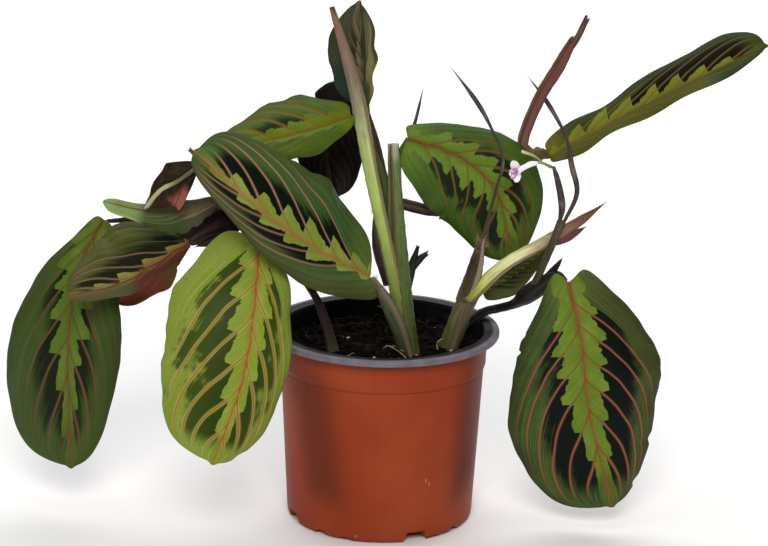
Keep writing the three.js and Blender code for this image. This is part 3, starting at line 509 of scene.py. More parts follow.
# Stems of each shoot: path and radii in millimetres, look, and how it ends. wrap is the height of
# the overlapping edge of a sheath, seam is where that edge lies, in degrees from the front, fringe
# is a number of fine hairs near the tip, and flat squeezes the section into an oval.
SHOOTS = {
    "shoot_centre": [
        dict(path=[(13, -16, 88), (8, -18, 105), (2, -19, 119), (-5.6, -19.4, 132)],
             radii=[4, 4, 3.4, 1.3], look="grey_olive", wrap=0.5, seam=35, fringe=70),
        dict(path=[(15, -14, 88), (10, -10, 118), (6, -5, 154), (3, 2, 197)],
             radii=[5, 4.8, 4.5, 3], look="green_sheath", wrap=1.1, seam=-28, end="cut"),
        dict(path=[(6, 2, 175), (6, 5, 188), (10.4, 2.2, 199.3)], radii=[2, 2, 1.3], look="leaf_stalk"),
        dict(path=[(13, -14, 95), (3, -11, 138), (-7, -4, 180), (-16, 3, 223), (-29, 8, 265)],
             radii=[4.2, 3.2, 3.4, 3.5, 1.3], look="pale_pink", wrap=0.6, seam=50, end="cut"),
        dict(path=[(8, -4, 138), (0, 8, 171), (-5, 13, 193), (-10, 14.3, 209.6)],
             radii=[2.8, 2.4, 2, 1.2], look="brown_strip", wrap=0.5, seam=10),
        dict(path=[(7, -2, 142), (-4, 7, 184), (-17.9, 0.3, 210.6)], radii=[2.4, 2, 1], look="leaf_stalk"),
        dict(path=[(1, 6, 161), (-9, 26, 198), (-17.8, 29.4, 214.6)], radii=[2, 1.8, 1], look="dark_run"),
        dict(path=[(2, -10, 126), (-3, -8, 145), (-6, -5, 163)], radii=[2.4, 3.2, 0.6],
             look="dark_bract", wrap=0.5, seam=20, end="point", fringe=26),
        dict(path=[(11, -3, 120), (14, 2, 132), (17, 4, 143)], radii=[2.6, 2.4, 0.8],
             look="dead", end="torn"),
        dict(path=[(13, 1, 130), (18, 4, 136), (22, 5, 139)], radii=[2, 1.9, 1.2], look="dead", end="torn"),
        dict(path=[(7, -2, 167), (28, 12, 160), (54, 24, 163), (69, 24, 178), (78, 17, 191)],
             radii=[3, 3, 2.8, 2.8, 3.2], look="dark_run", wrap=0.4, seam=10),
        dict(path=[(74, 15, 188), (79, 15, 190), (82.9, 15.6, 188.4)], radii=[3.2, 3.2, 1.1], look="node"),
        dict(path=[(76, 16, 187), (69, 10, 197), (76, 2, 222), (85, 0, 239), (91, 0, 251)],
             radii=[3.6, 3.4, 3.4, 3.5, 2.6], look="red_sheath", wrap=0.9, seam=-35, end="torn", flat=0.2),
        dict(path=[(88, 0, 244), (94, 0, 254), (98, 0, 263)], radii=[1.8, 1.7, 1.5],
             look="brown_stub", end="torn"),
        dict(path=[(6, 4, 182), (9, 10, 192), (14, 14, 205), (18, 14, 224)],
             radii=[1.1, 0.9, 0.9, 0.4], look="spikelet", end="point"),
    ],
    "shoot_right": [
        dict(path=[(32, -6, 88), (38, -4, 105), (43, -3, 120)], radii=[5, 5, 4.2],
             look="green_brown", wrap=1.1, seam=18, fringe=24),
        dict(path=[(41, -3, 116), (46, -8, 135), (49, -14, 153)], radii=[4.2, 3.8, 1.5],
             look="brown_sheath", wrap=1.0, seam=30, fringe=70),
        dict(path=[(43, -5, 118), (60, -9, 137), (79, -9, 149), (96, -6, 159), (112, -2, 170)],
             radii=[3.6, 3.1, 2.8, 2.5, 0.6], look="pale_red", wrap=0.5, seam=60, end="point"),
        dict(path=[(44, 0, 112), (47, 9, 113.5), (49.8, 13.2, 115.9)], radii=[2.4, 1.9, 1],
             look="olive_stalk"),
        dict(path=[(83, -8, 149), (92, -7, 152), (102, -6, 158)], radii=[1.6, 2.3, 0.4],
             look="red_bract", end="point"),
        dict(path=[(49, -14, 152), (55, -19, 179), (58, -19, 195), (52, -19, 210), (44, -19, 224),
                   (30, -19, 242)],
             radii=[1, 0.8, 0.75, 0.75, 1.25, 0.4], look="spikelet", end="point"),
        dict(path=[(75, 1, 119), (81, -5, 137), (85, -12, 151), (89, -9, 161)],
             radii=[2, 1.8, 1.8, 2.2], look="olive_stalk"),
        dict(path=[(88, -8, 160), (89, -8, 169), (86, -10, 183), (83.8, -11.7, 189.6)],
             radii=[0.8, 1.8, 1.5, 0.9], look="spikelet"),
        dict(path=[(90, -9, 160), (96, -10, 176), (93, -8, 190), (90, 0, 203), (81, 8, 218), (70, 9, 232)],
             radii=[0.8, 1.2, 1.4, 0.7, 1.15, 0.4], look="spikelet", end="point"),
        dict(path=[(33, -1, 95), (41, 8, 99), (48, 14, 103), (54, 18, 105), (60, 19, 106.2), (68, 12, 111),
                   (75, 2, 120), (87, -2, 130), (92.5, -6, 129.5)],
             radii=[3, 2.7, 2.4, 2.3, 2.3, 2.6, 4.8, 3.2, 1.3], look="black_stalk", wrap=0.9, seam=20),
        dict(path=[(78, 1, 123), (86, 0, 132), (91, -1, 140)], radii=[2, 2, 0.4],
             look="black_stalk", end="point"),
    ],
    "shoot_left": [
        dict(path=[(-24.5, -15.8, 88), (-29, -18, 107), (-37, -16, 125), (-58, -8, 147), (-77, -6, 162)],
             radii=[3.6, 2.7, 2, 2.2, 2.6], look="maroon_stalk"),
        dict(path=[(-75, -7, 160.5), (-99, -8, 160), (-119, -4, 157), (-141.3, -1, 154.2)],
             radii=[2.6, 2.4, 2, 1], look="purple_stalk", wrap=0.4),
        dict(path=[(-73, -8, 159.5), (-86, -14, 156), (-97.2, -21.2, 150.5)], radii=[3.2, 4.4, 2.2],
             look="purple_stalk", wrap=0.8, seam=10),
        dict(path=[(-73, -7, 156), (-84, -11, 150), (-95, -17, 146)], radii=[2.4, 3.4, 0.8],
             look="purple_stalk", end="point"),
        dict(path=[(-76, -7, 162), (-88, -14, 162), (-96, -17.5, 156), (-104, -20, 149.5)],
             radii=[2.2, 4.2, 4.4, 1.2], look="purple_stalk", wrap=0.8, seam=-20, end="point"),
        dict(path=[(-88, -29, 188), (-93, -29, 195), (-97, -29, 199)], radii=[0.8, 1, 0.9],
             look="brown_stub", end="torn"),
        dict(path=[(-74, -6, 159), (-86, -6, 149), (-98, -5.5, 144.5)], radii=[2.4, 2.4, 1.2],
             look="purple_stalk", wrap=0.4),
        dict(path=[(-62, -8, 151), (-62, -22, 157), (-62, -32.5, 156.5)], radii=[2.2, 2, 1.2],
             look="purple_stalk"),
        dict(path=[(-75, -7, 161), (-79, -14, 167), (-81.4, -19, 171)], radii=[2, 1.8, 1.2],
             look="purple_stalk"),
        dict(path=[(-73, -6, 160), (-80, -22, 177), (-85, -31, 187), (-90.7, -31.5, 192)],
             radii=[1.8, 1.6, 1.5, 0.9], look="purple_stalk"),
    ],
}
SHOOT_SLOTS = {"shoot_centre": "stem_green", "shoot_right": "stem_olive", "shoot_left": "stem_dark"}
STEM_SIDES = 32
STEM_STEP = 1.1
# Ends: the share of a stem that narrows to a point, and the share and depth of a torn end
POINT_SHARE = 0.16
POINT_POWER = 0.6
TORN_SHARE = 0.1
TORN_DEPTH = 0.8
CAP_INSET = 0.72
FLATNESS = 0.05
GROOVE_DEPTH = 0.02
DRIFT_DEPTH = 0.035
SEAM_SHARE = 0.985
HOLLOW_TIP = 1.1
JOIN_REACH = 1.0
HAIR_RADIUS = 0.1
# Hairs: share of the stem that bears them, how far they lean out and stray, and their length
HAIR_SHARE = 0.45
HAIR_LEAN = (0.2, 0.8)
HAIR_STRAY = 0.35
HAIR_LENGTH = (1.2, 4.2)
HAIR_PLACES = (0.0, 0.5, 0.9)
HAIR_COLOURS = ((150, 138, 112), (196, 188, 160))

# Flower
FLOWER_STALKS = [
    dict(path=[(82.6, -12.6, 190), (77, -14, 192.5), (70, -15, 191.5), (66, -16.5, 189)],
         radii=[0.8, 0.7, 0.7, 1.4]),
    dict(path=[(79, -13.5, 191.6), (74, -11, 195), (68, -12, 197.5)], radii=[0.6, 0.6, 0.9]),
]
FLOWER_STALK_LOOK = dict(ramp=[(0, (112, 122, 66)), (0.4, (160, 168, 108)), (1, (196, 200, 150))])
FLOWER_CUP = (65.4, -16.8, 188.8)
COROLLA_TUBE = dict(
    path=[(75.5, -14.2, 192.4), (72, -15.2, 192), (68.6, -16.2, 190.4), (66.2, -16.8, 189.2)],
    radii=[0.9, 1.5, 1.3, 1.7],
)
FLOWER_SEED = 5
PETAL_HALF = 0.16
PETAL_CURL = 0.9
INNER_CURL = 0.6
PETAL_GRID = (16, 13)
# Petals: name, colour at the tip and in the throat
PETAL_LOOKS = [
    ("petals", (248, 245, 248), (214, 184, 212)),
    ("inner_petals", (206, 150, 200), (160, 92, 158)),
]
PETALS = [
    dict(reach=(-2.8, -1.6, 5.6), width=4.4),
    dict(reach=(-4.4, -3.0, -1.2), width=4.0),
    dict(reach=(-0.6, -2.4, -5.4), width=4.0),
    dict(reach=(-1.8, 3.8, -2.6), width=3.6),
    dict(reach=(-1.6, 3.6, 3.0), width=3.4),
]
INNER_PETALS = [
    dict(reach=(-4.6, -3.4, 0.9), width=2.6),
    dict(reach=(-3.4, -3.4, -3.2), width=2.8),
    dict(reach=(-2.0, -3.8, 1.4), width=2.0),
]


def linear(colour):
    """A screen colour, 0 to 255, as the linear light that a shader takes."""
    shares = [part / 255 for part in colour]
    return tuple(s / 12.92 if s <= 0.04045 else ((s + 0.055) / 1.055) ** 2.4 for s in shares) + (1.0,)


def shaded(colour, share, lift=0):
    """A screen colour made darker or lighter."""
    return tuple(min(part * share + lift, 255) for part in colour)


def between(low, high, share):
    """low where share is 0 and high where it is 1, for numbers, arrays and node values alike."""
    return low + (high - low) * share


def math_node(operation, swapped=False):
    """A method of Value that makes one Math node of it."""
    def method(self, *others):
        values = (*others, self) if swapped else (self, *others)
        return self.graph.math(operation, *values)
    return method


class Value:
    """A number or colour that varies over a surface. Arithmetic on it makes Math nodes."""

    def __init__(self, graph, socket):
        self.graph = graph
        self.socket = socket

    __add__ = __radd__ = math_node("ADD")
    __mul__ = __rmul__ = math_node("MULTIPLY")
    __sub__ = math_node("SUBTRACT")
    __rsub__ = math_node("SUBTRACT", swapped=True)
    __truediv__ = math_node("DIVIDE")
    __rtruediv__ = math_node("DIVIDE", swapped=True)
    __pow__ = math_node("POWER")
    __abs__ = math_node("ABSOLUTE")
    fraction = math_node("FRACT")
    floor = math_node("FLOOR")

    def rise(self, low, high):
        """0 below low, 1 above high, smooth between."""
        made = self.graph.node("MapRange", interpolation_type="SMOOTHSTEP")
        for place, value in enumerate((self, low, high)):
            self.graph.feed(made.inputs[place], value)
        return Value(self.graph, made.outputs[0])


class Graph:
    """One material and its nodes."""

    def __init__(self, name):
        self.material = bpy.data.materials.new(name)
        self.material.use_nodes = True
        self.tree = self.material.node_tree
        self.shader = self.tree.nodes["Principled BSDF"]

    def node(self, kind, **settings):
        made = self.tree.nodes.new("ShaderNode" + kind)
        for key, value in settings.items():
            setattr(made, key, value)
        return made

    def feed(self, socket, value):
        """Gives a socket a link, a number, or a screen colour as linear light."""
        if isinstance(value, Value):
            self.tree.links.new(value.socket, socket)
        else:
            socket.default_value = linear(value) if isinstance(value, tuple) else value

    def math(self, operation, *values):
        made = self.node("Math", operation=operation)
        for place, value in enumerate(values):
            self.feed(made.inputs[place], value)
        return Value(self, made.outputs[0])

    def split(self, socket):
        """The three numbers of a vector."""
        made = self.node("SeparateXYZ")
        self.tree.links.new(socket, made.inputs[0])
        return [Value(self, part) for part in made.outputs]

    def pair(self, layer):
        """The two numbers of a UV layer."""
        return self.split(self.node("UVMap", uv_map=layer).outputs[0])[:2]

    def place(self):
        """Place on the object, in millimetres."""
        scale = self.node("VectorMath", operation="SCALE")
        self.tree.links.new(self.node("TexCoord").outputs["Object"], scale.inputs[0])
        scale.inputs["Scale"].default_value = 1 / MM
        return self.split(scale.outputs[0])

    def noise(self, x, y, z=0.0, scale=1.0, detail=2.0, rough=0.5):
        joined = self.node("CombineXYZ")
        for socket, value in zip(joined.inputs, (x, y, z)):
            self.feed(socket, value)
        made = self.node("TexNoise")
        self.tree.links.new(joined.outputs[0], made.inputs["Vector"])
        for key, value in (("Scale", scale), ("Detail", detail), ("Roughness", rough)):
            made.inputs[key].default_value = value
        return Value(self, made.outputs[0])

    def mix(self, share, a, b):
        """Colour a where share is 0 and colour b where it is 1."""
        made = self.node("Mix", data_type="RGBA")
        for place, value in ((0, share), (6, a), (7, b)):
            self.feed(made.inputs[place], value)
        return Value(self, made.outputs[2])

    def ramp(self, share, stops):
        made = self.node("ValToRGB")
        self.feed(made.inputs[0], share)
        elements = made.color_ramp.elements
        while len(elements) < len(stops):
            elements.new(0.5)
        for element, (at, colour) in zip(elements, stops):
            element.position = at
            element.color = linear(colour)
        return Value(self, made.outputs[0])

    def finish(self, colour, roughness, height, relief_mm, specular=0.5):
        """Feeds the shader: colour, roughness and a fine relief whose full height is relief_mm."""
        self.feed(self.shader.inputs["Base Color"], colour)
        self.feed(self.shader.inputs["Roughness"], roughness)
        self.shader.inputs["Specular IOR Level"].default_value = specular
        bump = self.node("Bump")
        bump.inputs["Distance"].default_value = relief_mm * MM
        self.feed(bump.inputs["Height"], height)
        self.tree.links.new(bump.outputs[0], self.shader.inputs["Normal"])
        return self.material


def vein_count(look, t, q, forked, wander, start):
    """Where along the leaf the vein through a place starts, and how many side veins start below it."""
    bend, curl = look["sweep"]
    swept = t - q * bend - q ** 3 * curl - forked + wander
    return swept, swept * (swept * CROWDING + 1) / look["spacing"] + start


class Veins:
    """The vein pattern of a leaf: place along and across, vein count, and distances in millimetres."""

    def __init__(self, graph, look, length, seed):
        t, w = graph.pair("leaf")
        across = graph.pair("size")[1]
        q = abs(w)
        self.graph, self.look, self.length, self.seed = graph, look, length, seed
        self.t, self.w, self.q = t, w, q
        self.across_mm = abs(across)
        self.half_mm = self.across_mm / graph.math("MAXIMUM", q, 0.03)
        self.right = w.rise(-0.001, 0.001)
        self.start = self.by_side("start")
        self.wander = (graph.noise(t * 5 + seed, w * 2.5, detail=1.0) - 0.5) * VEIN_WANDER
        sway = (graph.noise(t * 9 + seed, seed, detail=0.0) - 0.5) * RIB_SWAY
        zigzag = graph.math("SINE", t * (2 * math.pi / look["spacing"])) * RIB_ZIGZAG + sway
        self.rib_mm = abs(across + zigzag * (1 - t))
        fork = graph.math("EXPONENT", q / -FORK_WIDTH)
        swept, self.count = vein_count(look, t, q, (1 - fork) * FORK_REACH, self.wander, self.start)
        bend, curl = look["sweep"]
        slope = (fork * (FORK_REACH / FORK_WIDTH) + bend + 3 * curl * q ** 2) * length / self.half_mm
        lean = 1 / (slope ** 2 + 1) ** 0.5
        spread_mm = look["spacing"] * length / (swept * (2 * CROWDING) + 1)
        part = self.count.fraction()
        self.vein_mm = graph.math("MINIMUM", part, 1 - part) * lean * spread_mm

    def by_side(self, key):
        """The look's first value on the left half of the leaf, its second on the right half."""
        left, right = self.look[key]
        return between(left, right, self.right)

    def each(self, count, step):
        """A random number for each field between two side veins."""
        return self.graph.noise(count.floor() * step, self.right * 5 + self.seed, detail=0.0)

    def grain(self, mottle_scale):
        """Fine streaks along the veins, broad mottle and fine speckle."""
        place = (self.t * self.length, self.w * 35, self.seed)
        turned = self.right * 7 + self.seed
        streaks = self.graph.noise(self.count * 10, self.q * 1.5, turned, detail=3.0, rough=0.6)
        mottle = self.graph.noise(*place, scale=mottle_scale, detail=3.0)
        return streaks, mottle, self.graph.noise(*place, scale=0.9, detail=3.0, rough=0.7)

    def feather_edge(self):
        """Half width in millimetres of the toothed band along the midrib."""
        t = self.t
        full = self.by_side("feather") * ((0.5 + 0.5 * t.rise(-0.1, 0.4)) * (1 - 0.7 * t.rise(0.45, 1.0)))
        edge_q = self.graph.math("MINIMUM", full / self.half_mm, 0.4)
        _, count = vein_count(self.look, t, edge_q, FORK_REACH, self.wander, self.start)
        tooth = count.fraction()
        each = self.each(count, 5.3)
        drop_at = 0.62 + each * 0.34
        grown = (tooth / drop_at) ** 0.9 * (1 - tooth.rise(drop_at, drop_at + 0.07))
        swell = self.graph.math("SINE", tooth * 14) * 0.05
        ragged = (self.graph.noise(t * self.length, self.w * 20, scale=0.5) - 0.5) * 0.24
        depth = self.look["tooth"] * (0.4 + each * 1.2) * (1 + t * 0.5)
        return full * (1 + (each - 0.5) * 0.4 + (grown - 0.55) * depth + swell + ragged)

    def paint_bands(self, skin, bands):
        """Stripes along a leaf, at a place across it and from one place along it to another."""
        for place, half, colour, low, high in bands:
            stripe = 1 - abs(self.w - place).rise(half * 0.4, half)
            stripe = stripe * self.t.rise(low, low + 0.12) * (1 - self.t.rise(high - 0.12, high))
            skin = self.graph.mix(stripe * 0.85, skin, colour)
        return skin

    def dark_blotches(self, lime, streaks, mottle):
        """How far out the dark blotches between the side veins reach, and where they lie."""
        look, t, count, soft = self.look, self.t, self.count, self.look["soft"]
        each = self.each(count, 3.7)
        reach = look["blotch"] + (each - 0.5) * 0.5 + (streaks - 0.5) * 0.5
        reach = reach + (mottle - 0.5) * (0.25 + look["patchy"]) - t.rise(0.6, 1.0) * 0.1
        first, last = look["blotches"]
        listed = count.rise(first - 0.02, first + 0.02) * (1 - count.rise(last - 0.02, last + 0.02))
        ends = t.rise(0.03, 0.1) * (1 - t.rise(0.9, 0.97))
        apart = self.vein_mm.rise(look["border"] * 0.4, look["border"] + 0.1)
        inside = 1 - self.q.rise(reach - soft, reach + soft)
        return reach, inside * listed * ends * (1 - lime) * apart * self.by_side("dark_share")

    def greens(self, lime, reach, streaks, mottle):
        """Colours of the blade and of the light band on it, without blotches and veins."""
        mix, look, t, q = self.graph.mix, self.look, self.t, self.q
        margin = q.rise(0.72, 0.98)
        pale = streaks.rise(0.46, 0.7) * (1 - margin * 0.8) * (1 - q.rise(reach + 0.15, reach + 0.5) * 0.6)
        green = mix(mottle.rise(0.3, 0.62) * 0.65 + margin * 0.35, look["mid"], look["outer"])
        green = mix(pale * 0.85, green, look["light"])
        green = mix((1 - t.rise(0.05, 0.2)) * 0.85, green, look["base"])
        patches = mottle.rise(0.4, 0.7) * 0.4 + streaks.rise(0.45, 0.7) * 0.4
        skin = mix(lime, green, mix(patches, look["lime"], look["lime_light"]))
        skin = self.paint_bands(skin, look["bands"])
        return mix(self.by_side("warm") * q.rise(0.1, 0.6) * (1 - lime), skin, WARM_TINT)

    def side_veins(self, skin, lime):
        """The side veins with their pale halo, and where they lie."""
        mix, look, q = self.graph.mix, self.look, self.q
        end = look["vein_end"]
        basal = 0.12 + 0.88 * self.count.rise(0.5, 0.9)
        fade = (1 - q.rise(end, end + 0.25)) * (1 - self.t.rise(0.9, 0.99)) * basal * self.by_side("faint")
        wide = 0.28 + 0.24 * (1 - lime) - 0.14 * q
        halo = (1 - self.vein_mm.rise(wide, wide + look["halo_mm"])) * fade
        skin = mix(halo * look["halo_share"], skin, look["halo"])
        side = (1 - self.vein_mm.rise(wide * 0.35, wide + 0.16)) * fade
        return mix(side * 0.9, skin, mix(lime, look["vein"], look["fine"])), side

    def midrib(self, skin):
        """The midrib line with its faint glow, and where it lies."""
        t = self.t
        glow = (1 - self.rib_mm.rise(0.4, 3.0)) * (0.4 - 0.2 * t)
        skin = self.graph.mix(glow, skin, self.look["fine"])
        half_mm = between(*self.look["rib_line"], t)
        rib = (1 - self.rib_mm.rise(half_mm * 0.45, half_mm + 0.1)) * (1 - t.rise(0.9, 1.0) * 0.5)
        return self.graph.mix(rib * 0.95, skin, self.look["midrib"]), rib


def leaf_top_material(name, look, length, seed):
    graph = Graph(name)
    veins = Veins(graph, look, length, seed)
    edge = veins.feather_edge()
    lime = (1 - veins.across_mm.rise(edge - 0.25, edge + 0.25)) * (1 - veins.t.rise(0.86, 1.0) * 0.8)
    streaks, mottle, speckle = veins.grain(0.09)
    reach, blotch = veins.dark_blotches(lime, streaks, mottle)
    skin = veins.greens(lime, reach, streaks, mottle)
    skin = graph.mix(blotch * (1 - veins.q.rise(0.1, 0.65) * look["fade"]), skin, look["dark"])
    skin = graph.mix((1 - speckle.rise(0.3, 0.52)) * 0.3, skin, shaded(look["mid"], 0.55))
    skin, side = veins.side_veins(skin, lime)
    skin, rib = veins.midrib(skin)
    height = streaks * 0.5 + speckle * 0.3 + side * 0.4 - rib * 0.4
    roughness = 0.45 + (mottle - 0.5) * 0.14 + blotch * 0.04
    return graph.finish(skin, roughness, height, 0.16, specular=look["gloss"])


def leaf_under_material(name, look, under, length, seed):
    graph = Graph(name)
    mix = graph.mix
    veins = Veins(graph, look, length, seed)
    q = veins.q
    edge = veins.feather_edge()
    band = (1 - veins.across_mm.rise(edge - 0.8, edge + 1.2)) * under["band_share"]
    streaks, mottle, speckle = veins.grain(0.11)
    skin = mix(veins.right, under["left"], under["right"])
    skin = mix(band + (streaks - 0.5) * 0.3, skin, under["band"])
    skin = mix(q.rise(0.8, 1.02) * 0.6 + (mottle - 0.45) * 0.5, skin, under["margin"])
    skin = mix((1 - speckle.rise(0.3, 0.52)) * 0.25, skin, shaded(under["band"], 0.5))
    skin = veins.paint_bands(skin, under["bands"])
    basal = 0.3 + 0.7 * veins.count.rise(0.5, 0.9)
    side = (1 - veins.vein_mm.rise(0.12, 0.5)) * (1 - q.rise(0.7, 0.95)) * basal
    skin = mix(side * 0.6, skin, under["vein"])
    half_mm = between(*under["rib_mm"], veins.t)
    rib = 1 - veins.across_mm.rise(half_mm * 0.6, half_mm)
    shown = 0.25 + 0.75 * veins.t.rise(*under["rib_span"])
    skin = mix(rib * shown * 0.85, skin, under["rib"])
    height = streaks * 0.5 + speckle * 0.3 + side * 0.5
    return graph.finish(skin, 0.5 + (mottle - 0.5) * 0.14, height, 0.18, specular=0.1)


def stem_material(name, look, seed):
    graph = Graph(name)
    mix = graph.mix
    t, turn = graph.pair("stem")
    along_mm = graph.pair("size")[0]
    angle = turn * (2 * math.pi)
    x, y = graph.math("COSINE", angle), graph.math("SINE", angle)
    lines = graph.noise(x * 5, y * 5, along_mm * 0.06 + seed, detail=3.0, rough=0.65)
    patches = graph.noise(x * 0.9, y * 0.9, along_mm * 0.1 + seed, detail=3.0)
    spots = graph.noise(x * 4, y * 4, along_mm * 0.8 + seed, detail=3.0, rough=0.6)
    place = t + (patches - 0.5) * 0.2
    stops = look["ramp"]
    darker = graph.ramp(place, [(at, shaded(colour, 0.5)) for at, colour in stops])
    lighter = graph.ramp(place, [(at, shaded(colour, 1.22, 8)) for at, colour in stops])
    streaked = look.get("streaked", 1)
    skin = mix((1 - lines.rise(0.32, 0.52)) * (0.6 * streaked), graph.ramp(place, stops), darker)
    skin = mix(lines.rise(0.54, 0.72) * 0.55, skin, lighter)
    skin = mix(patches.rise(0.54, 0.76) * (0.45 * streaked), skin, darker)
    skin = mix(spots.rise(0.62, 0.72) * (0.4 * streaked), skin, darker)
    if "margin" in look:
        papery = (1 - turn.rise(0.03, 0.115)) + turn.rise(0.955, 0.985)
        skin = mix(papery * 0.85, skin, look["margin"])
    return graph.finish(skin, 0.48 + (patches - 0.5) * 0.2, lines * 0.7 + spots * 0.3, 0.3, specular=0.14)


def hair_material():
    graph = Graph("hairs")
    shade = graph.noise(*graph.place(), scale=0.8)
    skin = graph.mix(shade.rise(0.3, 0.7), *HAIR_COLOURS)
    return graph.finish(skin, 0.6 + shade * 0.1, shade, 0.05)


def terracotta_material():
    graph = Graph("terracotta_plastic")
    mix, colours = graph.mix, TERRACOTTA
    x, y, z = graph.place()
    angle = graph.math("ARCTAN2", y, x)
    flow = graph.noise(angle * 9, z * 0.02, detail=3.0)
    cloud = graph.noise(x, y, z, scale=0.02)
    clouds = cloud.rise(0.35, 0.7)
    grain = graph.noise(x, y, z, scale=2.4)
    skin = mix(clouds, colours["base"], colours["light"])
    skin = mix(flow.rise(0.5, 0.8) * 0.3, skin, colours["flow"])
    azimuth = graph.math("ARCTAN2", x, 0 - y) * (180 / math.pi)
    # Painted shade: dark bands down the sides of the wall
    for centre, half, lean, strength in PAINTED_SHADE_ZONES:
        painted_shade = 1 - abs(azimuth - z * lean - centre).rise(half * 0.15, half)
        painted_shade = painted_shade * (0.85 + 0.15 * clouds) * z.rise(6, 30) * (1 - z.rise(76, 97) * 0.6)
        skin = mix(painted_shade * strength, skin, colours["painted_shade"])
    ring = (graph.math("SINE", z * 2.2) * 0.5 + 0.5) * z.rise(78, 96)
    skin = mix(ring * 0.12, skin, colours["ring"])
    # Painted shade: a dark line in the crease of the step round the wall
    painted_step_shade = 1 - abs(z - STEP_HEIGHT).rise(0.1, 0.8)
    skin = mix(painted_step_shade * 0.45, skin, colours["painted_step_shade"])
    scratch = graph.noise(angle * 60, z * 0.5, detail=4.0, rough=0.7)
    worn = scratch.rise(0.72, 0.8) * (1 - z.rise(6, 40)) * 0.5
    skin = mix(worn, skin, colours["worn"])
    for at, height, half_width, half_height in SCUFFS:
        off = ((x - at) / half_width) ** 2 + ((z - height) / half_height) ** 2
        scuff = (1 - off.rise(0.3, 1.2)) * (1 - y.rise(-10, -5)) * grain.rise(0.35, 0.55)
        skin = mix(scuff * 0.45, skin, colours["scuff"])
    dust = (1 - z.rise(0, 14)) * cloud.rise(0.4, 0.8) * 0.25
    skin = mix(dust, skin, colours["dust"])
    relief = grain * 0.4 + flow * 0.6 + ring * 0.5
    return graph.finish(skin, 0.4 + flow * 0.08 + worn * 0.2, relief, 0.05, specular=0.08)


def rim_material():
    graph = Graph("rim_plastic_and_sheen")
    x, y, z = graph.place()
    grain = graph.noise(x, y, z, scale=2.0)
    cloud = graph.noise(x, y, z, scale=0.12, detail=3.0)
    radius = (x ** 2 + y ** 2) ** 0.5
    # The grey of the lip is partly painted reflection
    skin = graph.mix(cloud.rise(0.3, 0.7), RIM_COLOURS_AND_SHEEN["base"], RIM_COLOURS_AND_SHEEN["light"])
    inside = 1 - radius.rise(RIM_RADIUS - 4, RIM_RADIUS - 2.4)
    skin = graph.mix(inside, skin, RIM_COLOURS_AND_SHEEN["inside"])
    dirt = cloud.rise(0.52, 0.72) * inside
    skin = graph.mix(dirt * 0.5, skin, RIM_COLOURS_AND_SHEEN["dirt"])
    return graph.finish(skin, 0.42 + cloud * 0.12 + dirt * 0.3, grain, 0.04, specular=0.2)


def soil_material():
    graph = Graph("peat")
    place = graph.place()
    coarse = graph.noise(*place, scale=0.35, detail=4.0, rough=0.65)
    fine = graph.noise(*place, scale=2.2, detail=4.0, rough=0.7)
    skin = graph.mix(fine.rise(0.35, 0.7), PEAT["dark"], PEAT["base"])
    skin = graph.mix(coarse.rise(0.55, 0.72) * 0.6, skin, PEAT["lump"])
    skin = graph.mix(fine.rise(0.7, 0.8) * 0.7, skin, PEAT["speck"])
    return graph.finish(skin, 0.86 + fine * 0.1, fine * 0.7 + coarse * 0.3, 0.5, specular=0.03)


def crumb_material(name, low, high, rough):
    graph = Graph(name)
    place = graph.place()
    shade = graph.noise(*place, scale=0.5, detail=3.0)
    fine = graph.noise(*place, scale=3.0, detail=3.0)
    skin = graph.mix(shade.rise(0.35, 0.65) * 0.7 + fine * 0.3, low, high)
    return graph.finish(skin, rough + fine * 0.1, fine, 0.3, specular=0.04)


def petal_material(name, tip, throat):
    graph = Graph(name)
    t, w = graph.pair("petal")
    lines = graph.noise(w * 9, t * 1.5)
    skin = graph.mix((1 - t.rise(0.15, 0.6)) * 0.9 + (lines - 0.5) * 0.2, tip, throat)
    return graph.finish(skin, 0.55 + lines * 0.1, lines, 0.08)


def floor_material():
    graph = Graph("floor")
    shade = graph.noise(*graph.place(), scale=0.01)
    return graph.finish(graph.mix(shade * 0.3, *FLOOR_COLOURS), 0.8, shade, 0.01, specular=0.1)


def smooth_curve(points):
    """A uniform Catmull-Rom curve through the points, as a function of an array of places 0 to 1."""
    knots = np.array(points, float)
    padded = np.vstack([2 * knots[0] - knots[1], knots, 2 * knots[-1] - knots[-2]])
    spans = len(knots) - 1

    def at(t):
        t = np.clip(np.asarray(t, float), 0, 1) * spans
        i = np.minimum(t.astype(int), spans - 1)
        u = (t - i)[..., None]
        p0, p1, p2, p3 = (padded[i + k] for k in range(4))
        v0, v1 = (p2 - p0) / 2, (p3 - p1) / 2
        return (2 * p1 - 2 * p2 + v0 + v1) * u ** 3 + (3 * p2 - 3 * p1 - 2 * v0 - v1) * u ** 2 + v0 * u + p1

    return at


def curve_length(curve):
    return float(np.linalg.norm(np.diff(curve(np.linspace(0, 1, 60)), axis=0), axis=1).sum())


def profile(values):
    curve = smooth_curve([(value,) for value in values])
    return lambda t: curve(t)[..., 0]


def unit(vectors):
    return vectors / np.linalg.norm(vectors, axis=-1, keepdims=True)


